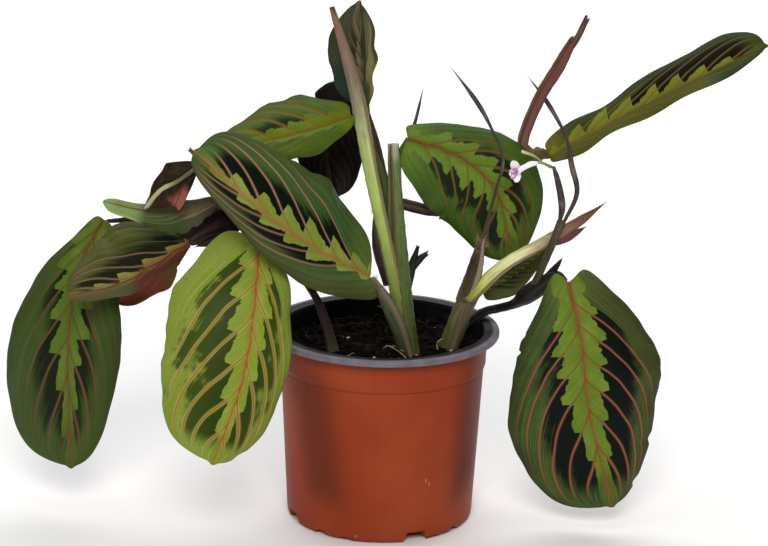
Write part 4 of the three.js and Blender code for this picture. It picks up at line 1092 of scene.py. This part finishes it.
def leaf_surface(leaf, t, w):
    """Middle surface of a leaf at place t along and w across, and the distance from its midrib, in mm."""
    spine_at = smooth_curve(leaf["midrib"])
    tangent = unit(spine_at(np.minimum(t + FRAME_STEP, 1)) - spine_at(np.maximum(t - FRAME_STEP, 0)))
    up = between(*np.array(leaf["face"], float), t[..., None])
    up = unit(up - tangent * (up * tangent).sum(-1, keepdims=True))
    side = (w >= 0).astype(int)
    across = np.cross(tangent, up) * np.where(side, 1.0, -1.0)[..., None]
    q = np.abs(w)
    oval = np.maximum(4 * t * (1 - t), 0) ** (OVAL_POWER - OVAL_TAPER * t)
    widths = np.where(side, profile(leaf["right"])(t), profile(leaf["left"])(t))
    droop = np.array(leaf["droop"], float)[side]
    angle = np.radians(between(droop[..., 0], droop[..., 1], t))[..., None]
    outward = across * np.cos(angle) - up * np.sin(angle)
    normal = up * np.cos(angle) + across * np.sin(angle)
    lobe_place = t / LOBE_PLACE
    lobe = np.array(leaf["lobes"])[side] * q ** LOBE_POWER * lobe_place * np.exp(1 - lobe_place)
    bow = leaf["bow"] * 4 * q * (1 - q) * oval
    phase = 2 * np.pi * (WAVE_COUNT * t + np.array(WAVE_START)[side])
    wave = WAVE_HEIGHT * q ** 3 * np.sin(phase) * oval
    half_width = oval * widths * edge_shape(leaf, t, side, q)
    off = half_width * w
    point = TIP_POINT * np.exp(-(off / TIP_POINT_WIDTH) ** 2) * np.clip((t - 0.95) / 0.05, 0, 1) ** 2
    place = spine_at(t) + outward * (half_width * q)[..., None]
    return place + normal * (bow + wave)[..., None] + tangent * (point - lobe)[..., None], off


def edge_shape(leaf, t, side, q):
    """How the margin differs from a smooth one: slightly uneven, with the leaf's own nicks."""
    seed = leaf["midrib"][3][0]
    uneven = np.sin(t * 17 + side * 2 + seed) + 0.7 * np.sin(t * 31 + side * 5 + seed)
    uneven = uneven + 0.4 * np.sin(t * 67 + seed)
    scale = 1 + EDGE_ROUGHNESS * uneven * q ** 4
    for nick_side, place, width, depth in leaf["nicks"]:
        off = np.clip(np.abs(t - place) / width, 0, 1)
        scale = scale - (side == nick_side) * depth * (1 - off ** 2) ** 2 * q ** 3
    return scale


def leaf_relief(look, t, w, across_mm):
    """Height of the quilted blade between the side veins, and of the midrib underneath, in millimetres."""
    q = np.abs(w)
    forked = FORK_REACH * (1 - np.exp(-q / FORK_WIDTH))
    _, count = vein_count(look, t, q, forked, 0, np.array(look["start"])[(w >= 0).astype(int)])
    middle = np.clip(q / 0.12, 0, 1) * np.clip((1 - q) / 0.2, 0, 1)
    quilt = QUILT * np.sin(np.pi * (count - np.floor(count))) ** 0.8 * middle
    trough = -RIB_TROUGH * np.exp(-(across_mm / RIB_TROUGH_WIDTH) ** 2)
    ridge = RIB_RIDGE * np.exp(-(across_mm / RIB_RIDGE_WIDTH) ** 2) * (1 - 0.75 * t)
    return quilt + trough, ridge


def grid_faces(along, across, offset=0, flip=False):
    i, j = np.meshgrid(np.arange(along - 1), np.arange(across - 1), indexing="ij")
    a = (offset + i * across + j).ravel()
    quads = np.stack([a, a + across, a + across + 1, a + 1], axis=1)
    return quads[:, ::-1] if flip else quads


def sheet_faces(along, across):
    """Faces of a thin closed sheet: upper grid, lower grid and the border between them."""
    size = along * across
    border = np.concatenate([
        np.arange(across), np.arange(1, along) * across + across - 1,
        (along - 1) * across + np.arange(across - 2, -1, -1), np.arange(along - 2, 0, -1) * across,
    ])
    following = np.roll(border, -1)
    rim = np.stack([border, following, following + size, border + size], axis=1)
    return grid_faces(along, across), grid_faces(along, across, size, flip=True), rim


def ring_faces(rings, sides, start=0):
    """Quads between the rings of a tube, ring by ring."""
    firsts = range(start, start + (rings - 1) * sides, sides)
    turns = [(k, (k + 1) % sides) for k in range(sides)]
    return [(a + k, a + b, a + b + sides, a + k + sides) for a in firsts for k, b in turns]


def new_mesh(name, points_mm, faces, materials, face_materials):
    mesh = bpy.data.meshes.new(name)
    mesh.from_pydata((np.asarray(points_mm, float) * MM).tolist(), [], [list(map(int, f)) for f in faces])
    for material in materials:
        mesh.materials.append(material)
    mesh.polygons.foreach_set("material_index", np.asarray(face_materials, np.int32))
    mesh.polygons.foreach_set("use_smooth", np.full(len(mesh.polygons), True))
    mesh.update()
    return mesh


def add_layer(mesh, layer, values):
    """A UV layer from one pair of numbers for each vertex."""
    loops = np.empty(len(mesh.loops), np.int32)
    mesh.loops.foreach_get("vertex_index", loops)
    made = mesh.uv_layers.new(name=layer)
    made.data.foreach_set("uv", np.asarray(values, np.float32)[loops].ravel())


def add_object(name, data):
    made = bpy.data.objects.new(name, data)
    bpy.context.scene.collection.objects.link(made)
    return made


def add_piece(name, mesh, node, slot):
    piece = add_object(name, mesh)
    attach(piece, "root")
    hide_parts(node)
    return piece


def sheet_points(middle, up, down):
    """Points of a sheet's upper and lower side, from its middle surface."""
    normal = unit(np.cross(np.gradient(middle, axis=1), np.gradient(middle, axis=0)))
    return np.vstack([(middle + normal * reach).reshape(-1, 3) for reach in (up, down)])


def make_leaf(name, leaf, seed):
    look, under = LOOKS[leaf["look"]], UNDERSIDES[leaf["under"]]
    along, across = leaf["grid"]
    turn = np.linspace(TIP_MARGIN, 1 - TIP_MARGIN, along)
    t, w = np.meshgrid((1 - np.cos(np.pi * turn)) / 2, np.linspace(-1, 1, across), indexing="ij")
    middle, across_mm = leaf_surface(leaf, t, w)
    quilt, ridge = leaf_relief(look, t, w, np.abs(across_mm))
    inside = np.clip((1 - np.abs(w)) / EDGE_ZONE, 0, 1) * np.clip(np.minimum(t, 1 - t) / TIP_ZONE, 0, 1)
    half = (BLADE_EDGE + (BLADE - BLADE_EDGE) * inside) / 2
    points = sheet_points(middle, (quilt + half)[..., None], (quilt - half - ridge)[..., None])
    faces = sheet_faces(along, across)
    looks = np.repeat([0, 1, 0], [len(part) for part in faces])
    length = curve_length(smooth_curve(leaf["midrib"]))
    materials = [
        leaf_top_material(name + "_top", look, length, seed),
        leaf_under_material(name + "_under", look, under, length, seed),
    ]
    mesh = new_mesh(name, points, np.vstack(faces), materials, looks)
    t, w, across_mm = t.ravel(), w.ravel(), across_mm.ravel()
    add_layer(mesh, "leaf", np.tile(np.stack([t, w], axis=1), (2, 1)))
    add_layer(mesh, "size", np.tile(np.stack([t * length, across_mm], axis=1), (2, 1)))
    sheet = np.stack([0.01 + 0.48 * (w + 1) / 2, 0.01 + 0.98 * t], axis=1)
    add_layer(mesh, "OFBake", np.vstack([sheet, sheet + [0.5, 0]]))
    add_piece(name.replace("leaf", "blade", 1), mesh, name, leaf["slot"])


def tube_frames(points):
    """Unit tangents and two directions across them, turned as little as possible along the path."""
    tangents = unit(np.gradient(points, axis=0))
    first = np.cross(tangents[0], (0, 0, 1) if abs(tangents[0][2]) < 0.9 else (0, 1, 0))
    normals = [unit(first)]
    for tangent in tangents[1:]:
        normals.append(unit(normals[-1] - tangent * normals[-1].dot(tangent)))
    normals = np.array(normals)
    return tangents, normals, np.cross(tangents, normals)


def stem_points(stem, chance):
    """Rings of points, in millimetres, with the place along and round for each."""
    curve = smooth_curve(stem["path"])
    length = curve_length(curve)
    rings = max(int(length / STEM_STEP), 10)
    end = stem.get("end", "joined")
    t = np.linspace(0, 1, rings)
    radius = profile(stem["radii"])(t)
    if end == "point":
        radius = radius * np.clip((1 - t) / POINT_SHARE, 0.06, 1) ** POINT_POWER
    centre = curve(t)
    tangents, normals, binormals = tube_frames(centre)
    turn = np.linspace(0, SEAM_SHARE, STEM_SIDES)
    middle = rings // 2
    seam = math.radians(stem.get("seam", chance.uniform(90, 270)))
    towards = np.array((math.sin(seam), -math.cos(seam), 0))
    angle = math.atan2(towards.dot(binormals[middle]), towards.dot(normals[middle])) + 2 * np.pi * turn
    grooves = chance.choice([7, 9, 11])
    shape = 1 + GROOVE_DEPTH * np.sin(grooves * angle + chance.uniform(0, 6))
    shape = shape + stem.get("flat", FLATNESS) * np.cos(2 * angle + chance.uniform(0, 3))
    lap = stem.get("wrap", 0.0) * (0.5 - turn) * np.minimum(radius / 4, 1)[:, None]
    drift = DRIFT_DEPTH * np.sin(3 * angle + 9 * t[:, None] + chance.uniform(0, 6))
    knobs = GROOVE_DEPTH * np.sin(t[:, None] * length * 0.9 + 2 * angle + chance.uniform(0, 6))
    reach = radius[:, None] * (shape + drift + knobs) + lap
    ring = normals[:, None] * np.cos(angle)[:, None] + binormals[:, None] * np.sin(angle)[:, None]
    points = centre[:, None] + ring * reach[..., None]
    if end == "torn":
        ragged = np.array([chance.uniform(-1, 1) for _ in range(STEM_SIDES)])
        ragged = (ragged + np.roll(ragged, 1)) * radius[-1] * TORN_DEPTH
        near = np.clip((t - 1) / TORN_SHARE + 1, 0, 1)[:, None]
        points += tangents[:, None] * (near * ragged[None, :])[..., None]
    return points, t, turn, length, end


def make_stem(stem, chance):
    """Points and faces of one stem, and its place layers: a pair of numbers for each face's corners."""
    points, t, turn, length, end = stem_points(stem, chance)
    faces = ring_faces(len(t), STEM_SIDES)
    turns = list(zip(turn, [*turn[1:], 1]))
    places = [
        [(t[i], low), (t[i], high), (t[i + 1], high), (t[i + 1], low)]
        for i in range(len(t) - 1) for low, high in turns
    ]
    tip = points[-1].mean(0)
    depth = HOLLOW_TIP if end in ("cut", "torn") else -JOIN_REACH
    inward = unit(points[-3].mean(0) - tip) * depth
    inner = tip + (points[-1] - tip) * CAP_INSET + inward * (0.2 if depth > 0 else 0.6)
    first = len(t) * STEM_SIDES
    middle = first + STEM_SIDES
    for k in range(STEM_SIDES):
        b = (k + 1) % STEM_SIDES
        faces.append((first - STEM_SIDES + k, first - STEM_SIDES + b, first + b, first + k))
        faces.append((first + k, first + b, middle))
        faces.append((b, k, middle + 1))
        places += [[(1, turn[k])] * 4, [(1, turn[k])] * 3, [(0, turn[k])] * 3]
    everything = np.vstack([points.reshape(-1, 3), inner, tip + inward, points[0].mean(0)])
    sizes = [[(along * length, round_it) for along, round_it in corners] for corners in places]
    return everything, faces, dict(stem=places, size=sizes)


def make_fringe(stem, chance):
    """Fine pale hairs round the upper end of a stem, each a slim three-sided spike."""
    points = stem_points(stem, random.Random(1))[0]
    tangents = unit(np.gradient(points.mean(1), axis=0))
    spikes = []
    faces = []
    for _ in range(stem["fringe"]):
        i = int((1 - HAIR_SHARE * chance.random() ** 2) * (len(points) - 1))
        root = points[i, chance.randrange(STEM_SIDES)]
        out = unit(root - points[i].mean(0))
        stray = np.array([chance.uniform(-HAIR_STRAY, HAIR_STRAY) for _ in range(3)])
        lean = unit(out * chance.uniform(*HAIR_LEAN) + tangents[i] + stray)
        reach = chance.uniform(*HAIR_LENGTH)
        across = unit(np.cross(lean, out + 0.01))
        deep = np.cross(lean, across)
        start = len(spikes)
        for along in HAIR_PLACES:
            centre = root + lean * reach * along + out * 0.5 * along ** 2 - out * 0.15
            for corner in range(3):
                turn = 2 * math.pi * corner / 3
                round_it = across * math.cos(turn) + deep * math.sin(turn)
                spikes.append(centre + round_it * HAIR_RADIUS * (1 - 0.7 * along))
        faces += ring_faces(3, 3, start)
        faces += [(start + 6, start + 7, start + 8), (start + 2, start + 1, start)]
    return spikes, faces


class Builder:
    """Gathers points, faces, materials and UV layers of one piece."""

    def __init__(self):
        self.points = []
        self.faces = []
        self.looks = []
        self.layers = {}

    def add(self, points, faces, look, **layers):
        """Adds a shell; each layer gives a pair of numbers for every corner of every face."""
        start = len(self.points)
        self.points.extend(np.asarray(points).tolist())
        for name in layers:
            self.layers.setdefault(name, [[(0, 0)] * len(face) for face in self.faces])
        for name, made in self.layers.items():
            made.extend(layers.get(name) or [[(0, 0)] * len(face) for face in faces])
        self.faces.extend([index + start for index in face] for face in faces)
        self.looks.extend([look] * len(faces))

    def piece(self, name, materials, node, slot):
        mesh = new_mesh(name, self.points, self.faces, materials, self.looks)
        for layer, made in self.layers.items():
            flat = [pair for corners in made for pair in corners]
            mesh.uv_layers.new(name=layer).data.foreach_set("uv", np.array(flat, np.float32).ravel())
        add_piece(name, mesh, node, slot)


def make_shoot(node, stems, materials, seed):
    chance = random.Random(seed)
    names = sorted({stem["look"] for stem in stems})
    build = Builder()
    for stem in stems:
        points, faces, layers = make_stem(stem, chance)
        build.add(points, faces, names.index(stem["look"]), **layers)
        if "fringe" in stem:
            build.add(*make_fringe(stem, chance), len(names))
    used = [materials[name] for name in names] + [materials["hairs"]]
    build.piece(node.replace("shoot", "stems", 1), used, node, SHOOT_SLOTS[node])


def notch_height(angle_degrees):
    """How far the bottom edge of the pot is lifted at an angle from the front."""
    lift = 0.0
    for repeat in range(NOTCH_REPEATS):
        for azimuth, width, height in NOTCHES:
            centre = azimuth + repeat * 360 / NOTCH_REPEATS
            off = (angle_degrees - centre + 180) % 360 - 180
            half = math.degrees(width / 2 / BASE_RADIUS)
            share = min(max((half + NOTCH_SOFTNESS - abs(off)) / (2 * NOTCH_SOFTNESS), 0), 1)
            lift = max(lift, height * share * share * (3 - 2 * share))
    return lift


def body_radius(z):
    return BASE_RADIUS + (NECK_RADIUS - BASE_RADIUS) * z / NECK_HEIGHT


def inner_radius(z):
    share = (z - FLOOR_THICKNESS) / (INNER_TOP - FLOOR_THICKNESS)
    return BASE_RADIUS - WALL + (NECK_RADIUS - BASE_RADIUS) * share


def pot_profile():
    """Outline of the pot's wall from under its middle round, as (radius, height, clear, material).

    clear is how far the row stays above the roof of a notch, or None where a notch leaves it alone.
    """
    under, lip = POT_HEIGHT - LIP_THICKNESS, POT_HEIGHT - LIP_DROP
    rim, inside = RIM_RADIUS - LIP_THICKNESS, NECK_RADIUS - WALL
    outside = NECK_RADIUS + STEP_OUT
    foot = [(radius, 0) for radius in (4, 14, 22, CHANNEL_END)]
    wall = [(radius, 0.01) for radius in (CHANNEL_END, 38, 43)]
    for degrees in range(0, 91, 15):
        turn = math.radians(degrees)
        wall.append((BASE_RADIUS - FOOT_CORNER * (1 - math.sin(turn)), FOOT_CORNER * (1 - math.cos(turn))))
    wall += [(body_radius(z), z) for z in (3.6, 4.6, 5.6, 8, 14, 22, 32, 44, 56, 68, 76, 80)]
    step = [(body_radius(81), 81), (body_radius(81.5) - 0.12, 81.5), (body_radius(81.8) + 0.2, 81.8)]
    step += [(body_radius(82.2) + STEP_OUT, 82.3)]
    step += [(outside - (NECK_HEIGHT - z) * 0.02, z) for z in (84, 87, 90, 93, NECK_HEIGHT)]
    flange = [
        (outside + 0.5, under), (rim, under), (rim, lip + 0.2), (rim + 0.25, lip), (RIM_RADIUS - 0.3, lip),
        (RIM_RADIUS, lip + 0.4), (RIM_RADIUS, POT_HEIGHT - 0.9), (RIM_RADIUS - 0.25, POT_HEIGHT - 0.3),
        (RIM_RADIUS - 0.9, POT_HEIGHT), (inside + 1.6, POT_HEIGHT), (inside + 0.7, POT_HEIGHT - 0.3),
        (inside + 0.2, POT_HEIGHT - 1.2), (inside, INNER_TOP),
    ]
    inner = [(inner_radius(z), z) for z in (92, 80, 60, 40, 20, 8, FLOOR_THICKNESS + 0.01)]
    inner += [(radius, FLOOR_THICKNESS) for radius in (40, CHANNEL_END - WALL)]
    floor = [(radius, FLOOR_THICKNESS) for radius in (CHANNEL_END - WALL - 0.1, 20, 4)]
    groups = [(foot, None, 0), (wall, 0, 0), (step, None, 0), (flange, None, 1), (inner, FLOOR_THICKNESS, 1),
              (floor, None, 1)]
    return [(*row, clear, material) for rows, clear, material in groups for row in rows]


def make_pot():
    rows = pot_profile()
    angles = np.arange(POT_SEGMENTS) * 360 / POT_SEGMENTS
    lifts = np.array([notch_height(angle) for angle in angles])
    turn = np.radians(angles)
    points = []
    for radius, z, clear, _ in rows:
        height = np.full(POT_SEGMENTS, float(z)) if clear is None else np.maximum(z, lifts + clear)
        points.append(np.stack([radius * np.sin(turn), -radius * np.cos(turn), height], axis=1))
    last = (len(rows) - 1) * POT_SEGMENTS
    faces = ring_faces(len(rows), POT_SEGMENTS)
    faces += [range(POT_SEGMENTS - 1, -1, -1), range(last, last + POT_SEGMENTS)]
    looks = np.repeat([row[3] for row in rows[1:]], POT_SEGMENTS).tolist() + [0, 1]
    mesh = new_mesh("pot_wall", np.vstack(points), faces, [terracotta_material(), rim_material()], looks)
    pot = add_piece("pot_wall", mesh, "pot", "pot_plastic")
    cut_drain_holes(pot)
    pot.data.set_sharp_from_angle(angle=math.radians(SHARP_ANGLE))


def cut_drain_holes(pot):
    shape = bmesh.new()
    for hole in range(DRAIN_HOLES):
        angle = 2 * math.pi * hole / DRAIN_HOLES + math.pi / 4
        place = Vector((math.cos(angle), math.sin(angle), 0)) * DRAIN_CIRCLE * MM
        place.z = FLOOR_THICKNESS / 2 * MM
        bmesh.ops.create_cone(
            shape, cap_ends=True, segments=40, radius1=DRAIN_RADIUS * MM, radius2=DRAIN_RADIUS * MM,
            depth=3 * FLOOR_THICKNESS * MM, matrix=Matrix.Translation(place),
        )
    cutter = add_object("drain_cutters", bpy.data.meshes.new("drain_cutters"))
    shape.to_mesh(cutter.data)
    shape.free()
    cutting = pot.modifiers.new("drains", "BOOLEAN")
    cutting.operation = "DIFFERENCE"
    cutting.object = cutter
    cutting.solver = "EXACT"
    bpy.context.view_layer.update()
    evaluated = pot.evaluated_get(bpy.context.evaluated_depsgraph_get())
    pot.data = bpy.data.meshes.new_from_object(evaluated)
    pot.modifiers.clear()
    bpy.data.objects.remove(cutter)


def soil_height(x, y):
    """Lumpy top of the soil: broad swells and fine crumbs."""
    wave = math.sin(x * 0.31 + 1.2) * math.cos(y * 0.27) + 0.6 * math.sin(x * 0.13 - y * 0.41 + 2)
    coarse = noise.fractal(Vector((x, y, 3)) * 0.22, 1.0, 2.0, 3)
    fine = noise.fractal(Vector((x, y, 9)) * 0.9, 1.0, 2.0, 3)
    return SOIL_TOP + SOIL_LUMP * wave * 0.6 + coarse * 0.9 + fine * 0.55


def scatter(chance, margin):
    """A random place on the soil, at least margin from its edge."""
    distance = (inner_radius(SOIL_TOP) - SOIL_GAP - margin) * math.sqrt(chance.random())
    angle = chance.uniform(0, 2 * math.pi)
    return distance * math.cos(angle), distance * math.sin(angle)


def add_crumbs(build, chance):
    """Irregular crumbs lying on the soil: peat, bark and a few pale chips."""
    shape = bmesh.new()
    bmesh.ops.create_icosphere(shape, subdivisions=2, radius=1)
    ball = np.array([vertex.co[:] for vertex in shape.verts])
    faces = [[vertex.index for vertex in face.verts] for face in shape.faces]
    shape.free()
    for crumb in range(CRUMBS):
        x, y = scatter(chance, CRUMB_MARGIN)
        size = chance.uniform(*CRUMB_SIZE) + CRUMB_EXTRA * chance.random() ** 4
        stretch = np.array([chance.uniform(*limits) for limits in CRUMB_STRETCH]) * size
        seed = Vector((crumb * 1.7, 0, 0))
        knobs = np.array([1 + CRUMB_KNOBS * noise.noise(Vector(p) * 1.7 + seed) for p in ball])
        turn = chance.uniform(0, 6.3)
        axis = Vector((chance.uniform(-0.5, 0.5), chance.uniform(-0.5, 0.5), 1))
        points = (ball * knobs[:, None] * stretch) @ np.array(Matrix.Rotation(turn, 3, axis)).T
        look = 1 + bisect.bisect(CRUMB_SHARES, chance.random())
        points += [x, y, soil_height(x, y) + stretch[2] * CRUMB_RISE]
        build.add(points, faces, look)


def add_thread(build, path, thick, look):
    """One thin closed tube that tapers along its path."""
    centre = np.array(path, float)
    _, normals, binormals = tube_frames(centre)
    count, sides = len(centre), THREAD_SIDES
    slim = thick * (1 - 0.6 * np.arange(count) / count)[:, None]
    rings = []
    for k in range(sides):
        turn = 2 * math.pi * k / sides
        rings.append(centre + (normals * math.cos(turn) + binormals * math.sin(turn)) * slim)
    points = np.stack(rings, axis=1).reshape(-1, 3)
    caps = [range(sides - 1, -1, -1), range((count - 1) * sides, count * sides)]
    build.add(points, ring_faces(count, sides) + caps, look)


def add_fibres(build, chance):
    """Thin rootlets and bark fibres that lie on the soil."""
    for _ in range(FIBRES):
        x, y = scatter(chance, FIBRE_MARGIN)
        heading = chance.uniform(0, 2 * math.pi)
        reach = chance.uniform(*FIBRE_LENGTH)
        bend = chance.uniform(-FIBRE_BEND, FIBRE_BEND)
        thick = chance.uniform(*FIBRE_THICKNESS)
        path = []
        for step in range(ROOTLET_STEPS):
            share = step / (ROOTLET_STEPS - 1)
            turn = heading + bend * share
            px = x + reach * share * math.cos(turn)
            py = y + reach * share * math.sin(turn)
            if math.hypot(px, py) > inner_radius(SOIL_TOP) - SOIL_GAP - FIBRE_LIMIT:
                break
            path.append((px, py, soil_height(px, py) + thick + FIBRE_ARCH * math.sin(math.pi * share)))
        if len(path) >= 4:
            add_thread(build, path, thick, 4)
    for path, thick in ROOTLETS:
        add_thread(build, smooth_curve(path)(np.linspace(0, 1, 24)), thick, 5)


def soil_ring(radius, height):
    """One ring of the soil's skin; height gives its height from the angle and the place."""
    made = []
    for k in range(SOIL_SEGMENTS):
        angle = 2 * math.pi * k / SOIL_SEGMENTS
        x, y = radius * math.cos(angle), radius * math.sin(angle)
        made.append((x, y, height(angle, x, y)))
    return made


def make_soil():
    """Lumpy top, side and underside of the peat; the underside rises over the pot's channels."""
    chance = random.Random(SOIL_SEED)
    radius = (inner_radius(SOIL_TOP - 2) - SOIL_GAP) * SOIL_FIT
    bottom = FLOOR_THICKNESS + SOIL_GAP
    channel_end = CHANNEL_END - WALL - SOIL_GAP
    points = [(0, 0, soil_height(0, 0))]
    for ring in range(1, SOIL_RINGS + 1):
        points += soil_ring(radius * ring / SOIL_RINGS, lambda angle, x, y: soil_height(x, y))
    for reach in ((inner_radius(bottom) - SOIL_GAP) * SOIL_FIT, channel_end):
        points += soil_ring(reach, lambda angle, x, y: bottom + notch_height(math.degrees(angle) + 90))
    points += soil_ring(channel_end - 0.5, lambda angle, x, y: bottom)
    rings = SOIL_RINGS + 3
    lowest = 1 + (rings - 1) * SOIL_SEGMENTS
    faces = [(a, d, c, b) for a, b, c, d in ring_faces(rings, SOIL_SEGMENTS, 1)]
    faces += [(0, 1 + k, 1 + (k + 1) % SOIL_SEGMENTS) for k in range(SOIL_SEGMENTS)]
    faces.append(range(lowest + SOIL_SEGMENTS - 1, lowest - 1, -1))
    build = Builder()
    build.add(points, faces, 0)
    add_crumbs(build, chance)
    add_fibres(build, chance)
    materials = [soil_material()] + [crumb_material(*look) for look in CRUMB_LOOKS]
    build.piece("soil_bed", materials, "soil", "peat")


def petal_grid(petal, curl):
    axis = np.array(petal["reach"], float)
    side = unit(np.cross((0, -1, 0), axis))
    out = unit(np.cross(axis, side))
    along, across = PETAL_GRID
    t, w = np.meshgrid(np.linspace(0, 1, along), np.linspace(-1, 1, across), indexing="ij")
    half = petal["width"] / 2 * (0.3 + 0.7 * np.sin(np.pi * (0.12 + 0.78 * t)))
    half = half * (1 - 0.5 * np.clip((t - 0.8) / 0.2, 0, 1) ** 2)
    rise = curl * (w ** 2 * 0.5 + 0.5 * t ** 2) + 0.12 * np.sin(7 * t + 4 * w)
    flat = np.array(FLOWER_CUP, float) + axis * t[..., None] + side * (half * w)[..., None]
    return flat + out * rise[..., None], t, w


def make_flower(materials):
    chance = random.Random(FLOWER_SEED)
    build = Builder()
    for stalk in FLOWER_STALKS:
        points, faces, layers = make_stem(stalk, chance)
        build.add(points, faces, 0, **layers, petal=layers["stem"])
    points, faces, layers = make_stem(COROLLA_TUBE, chance)
    build.add(points, faces, 1, petal=[[(1, turn) for _, turn in corners] for corners in layers["stem"]])
    for petals, curl, look in ((PETALS, PETAL_CURL, 1), (INNER_PETALS, INNER_CURL, 2)):
        for petal in petals:
            middle, t, w = petal_grid(petal, curl)
            faces = np.vstack(sheet_faces(*t.shape))
            flat = np.tile(np.stack([t.ravel(), w.ravel()], axis=1), (2, 1))
            points = sheet_points(middle, PETAL_HALF, -PETAL_HALF)
            build.add(points, faces.tolist(), look, petal=flat[faces].tolist())
    build.piece("flower_head", materials, "flower", "petal_white")


def make_camera():
    camera = add_object("camera", bpy.data.cameras.new("camera"))
    camera.data.sensor_width = SENSOR_MM
    camera.data.lens = FOCAL_PX * SENSOR_MM / FRAME_WIDTH_PX
    camera.data.clip_start, camera.data.clip_end = CAMERA_CLIP
    pitch, roll = math.radians(CAMERA_PITCH), math.radians(CAMERA_ROLL)
    sideways = Vector((1, 0, 0))
    upward = Vector((0, math.sin(pitch), math.cos(pitch)))
    ahead = Vector((0, math.cos(pitch), -math.sin(pitch)))
    right = sideways * math.cos(roll) + upward * math.sin(roll)
    up = upward * math.cos(roll) - sideways * math.sin(roll)
    turned = Matrix((right, up, -ahead)).transposed().to_4x4()
    camera.matrix_world = Matrix.Translation(Vector(CAMERA_MM) * MM) @ turned
    bpy.context.scene.camera = camera


def add_light(name, place, target, size, power, tint):
    light = bpy.data.lights.new(name, "AREA")
    light.shape = "RECTANGLE"
    light.size, light.size_y = size
    light.energy = power
    light.color = tint
    holder = add_object(name, light)
    holder.location = place
    aim = Vector(target) - Vector(place)
    holder.rotation_euler = aim.to_track_quat("-Z", "Y").to_euler()


def make_studio():
    scene = bpy.context.scene
    scene.view_settings.view_transform = "Standard"
    scene.world = bpy.data.worlds.new("studio")
    scene.world.use_nodes = True
    background = scene.world.node_tree.nodes["Background"]
    background.inputs["Color"].default_value = (1, 1, 1, 1)
    background.inputs["Strength"].default_value = WORLD_STRENGTH
    for light in LIGHTS:
        add_light(*light)
    corners = [(x * FLOOR_REACH, y * FLOOR_REACH, 0) for x, y in ((-1, -1), (1, -1), (1, 1), (-1, 1))]
    mesh = bpy.data.meshes.new("floor")
    mesh.from_pydata(corners, [], [(0, 1, 2, 3)])
    mesh.materials.append(floor_material())
    add_object("floor", mesh)


def main():
    make_camera()
    make_studio()
    make_pot()
    make_soil()
    stem_materials = {"hairs": hair_material()}
    for number, (name, look) in enumerate(STEM_LOOKS.items()):
        stem_materials[name] = stem_material("stem_" + name, look, number * 3.1)
    for number, (node, stems) in enumerate(SHOOTS.items()):
        make_shoot(node, stems, stem_materials, number + 1)
    for number, (name, leaf) in enumerate(LEAVES.items()):
        make_leaf(name, {**PLAIN_LEAF, **leaf}, number * 2.3)
    petals = [petal_material(*look) for look in PETAL_LOOKS]
    make_flower([stem_material("flower_stalk", FLOWER_STALK_LOOK, 50), *petals])


main()
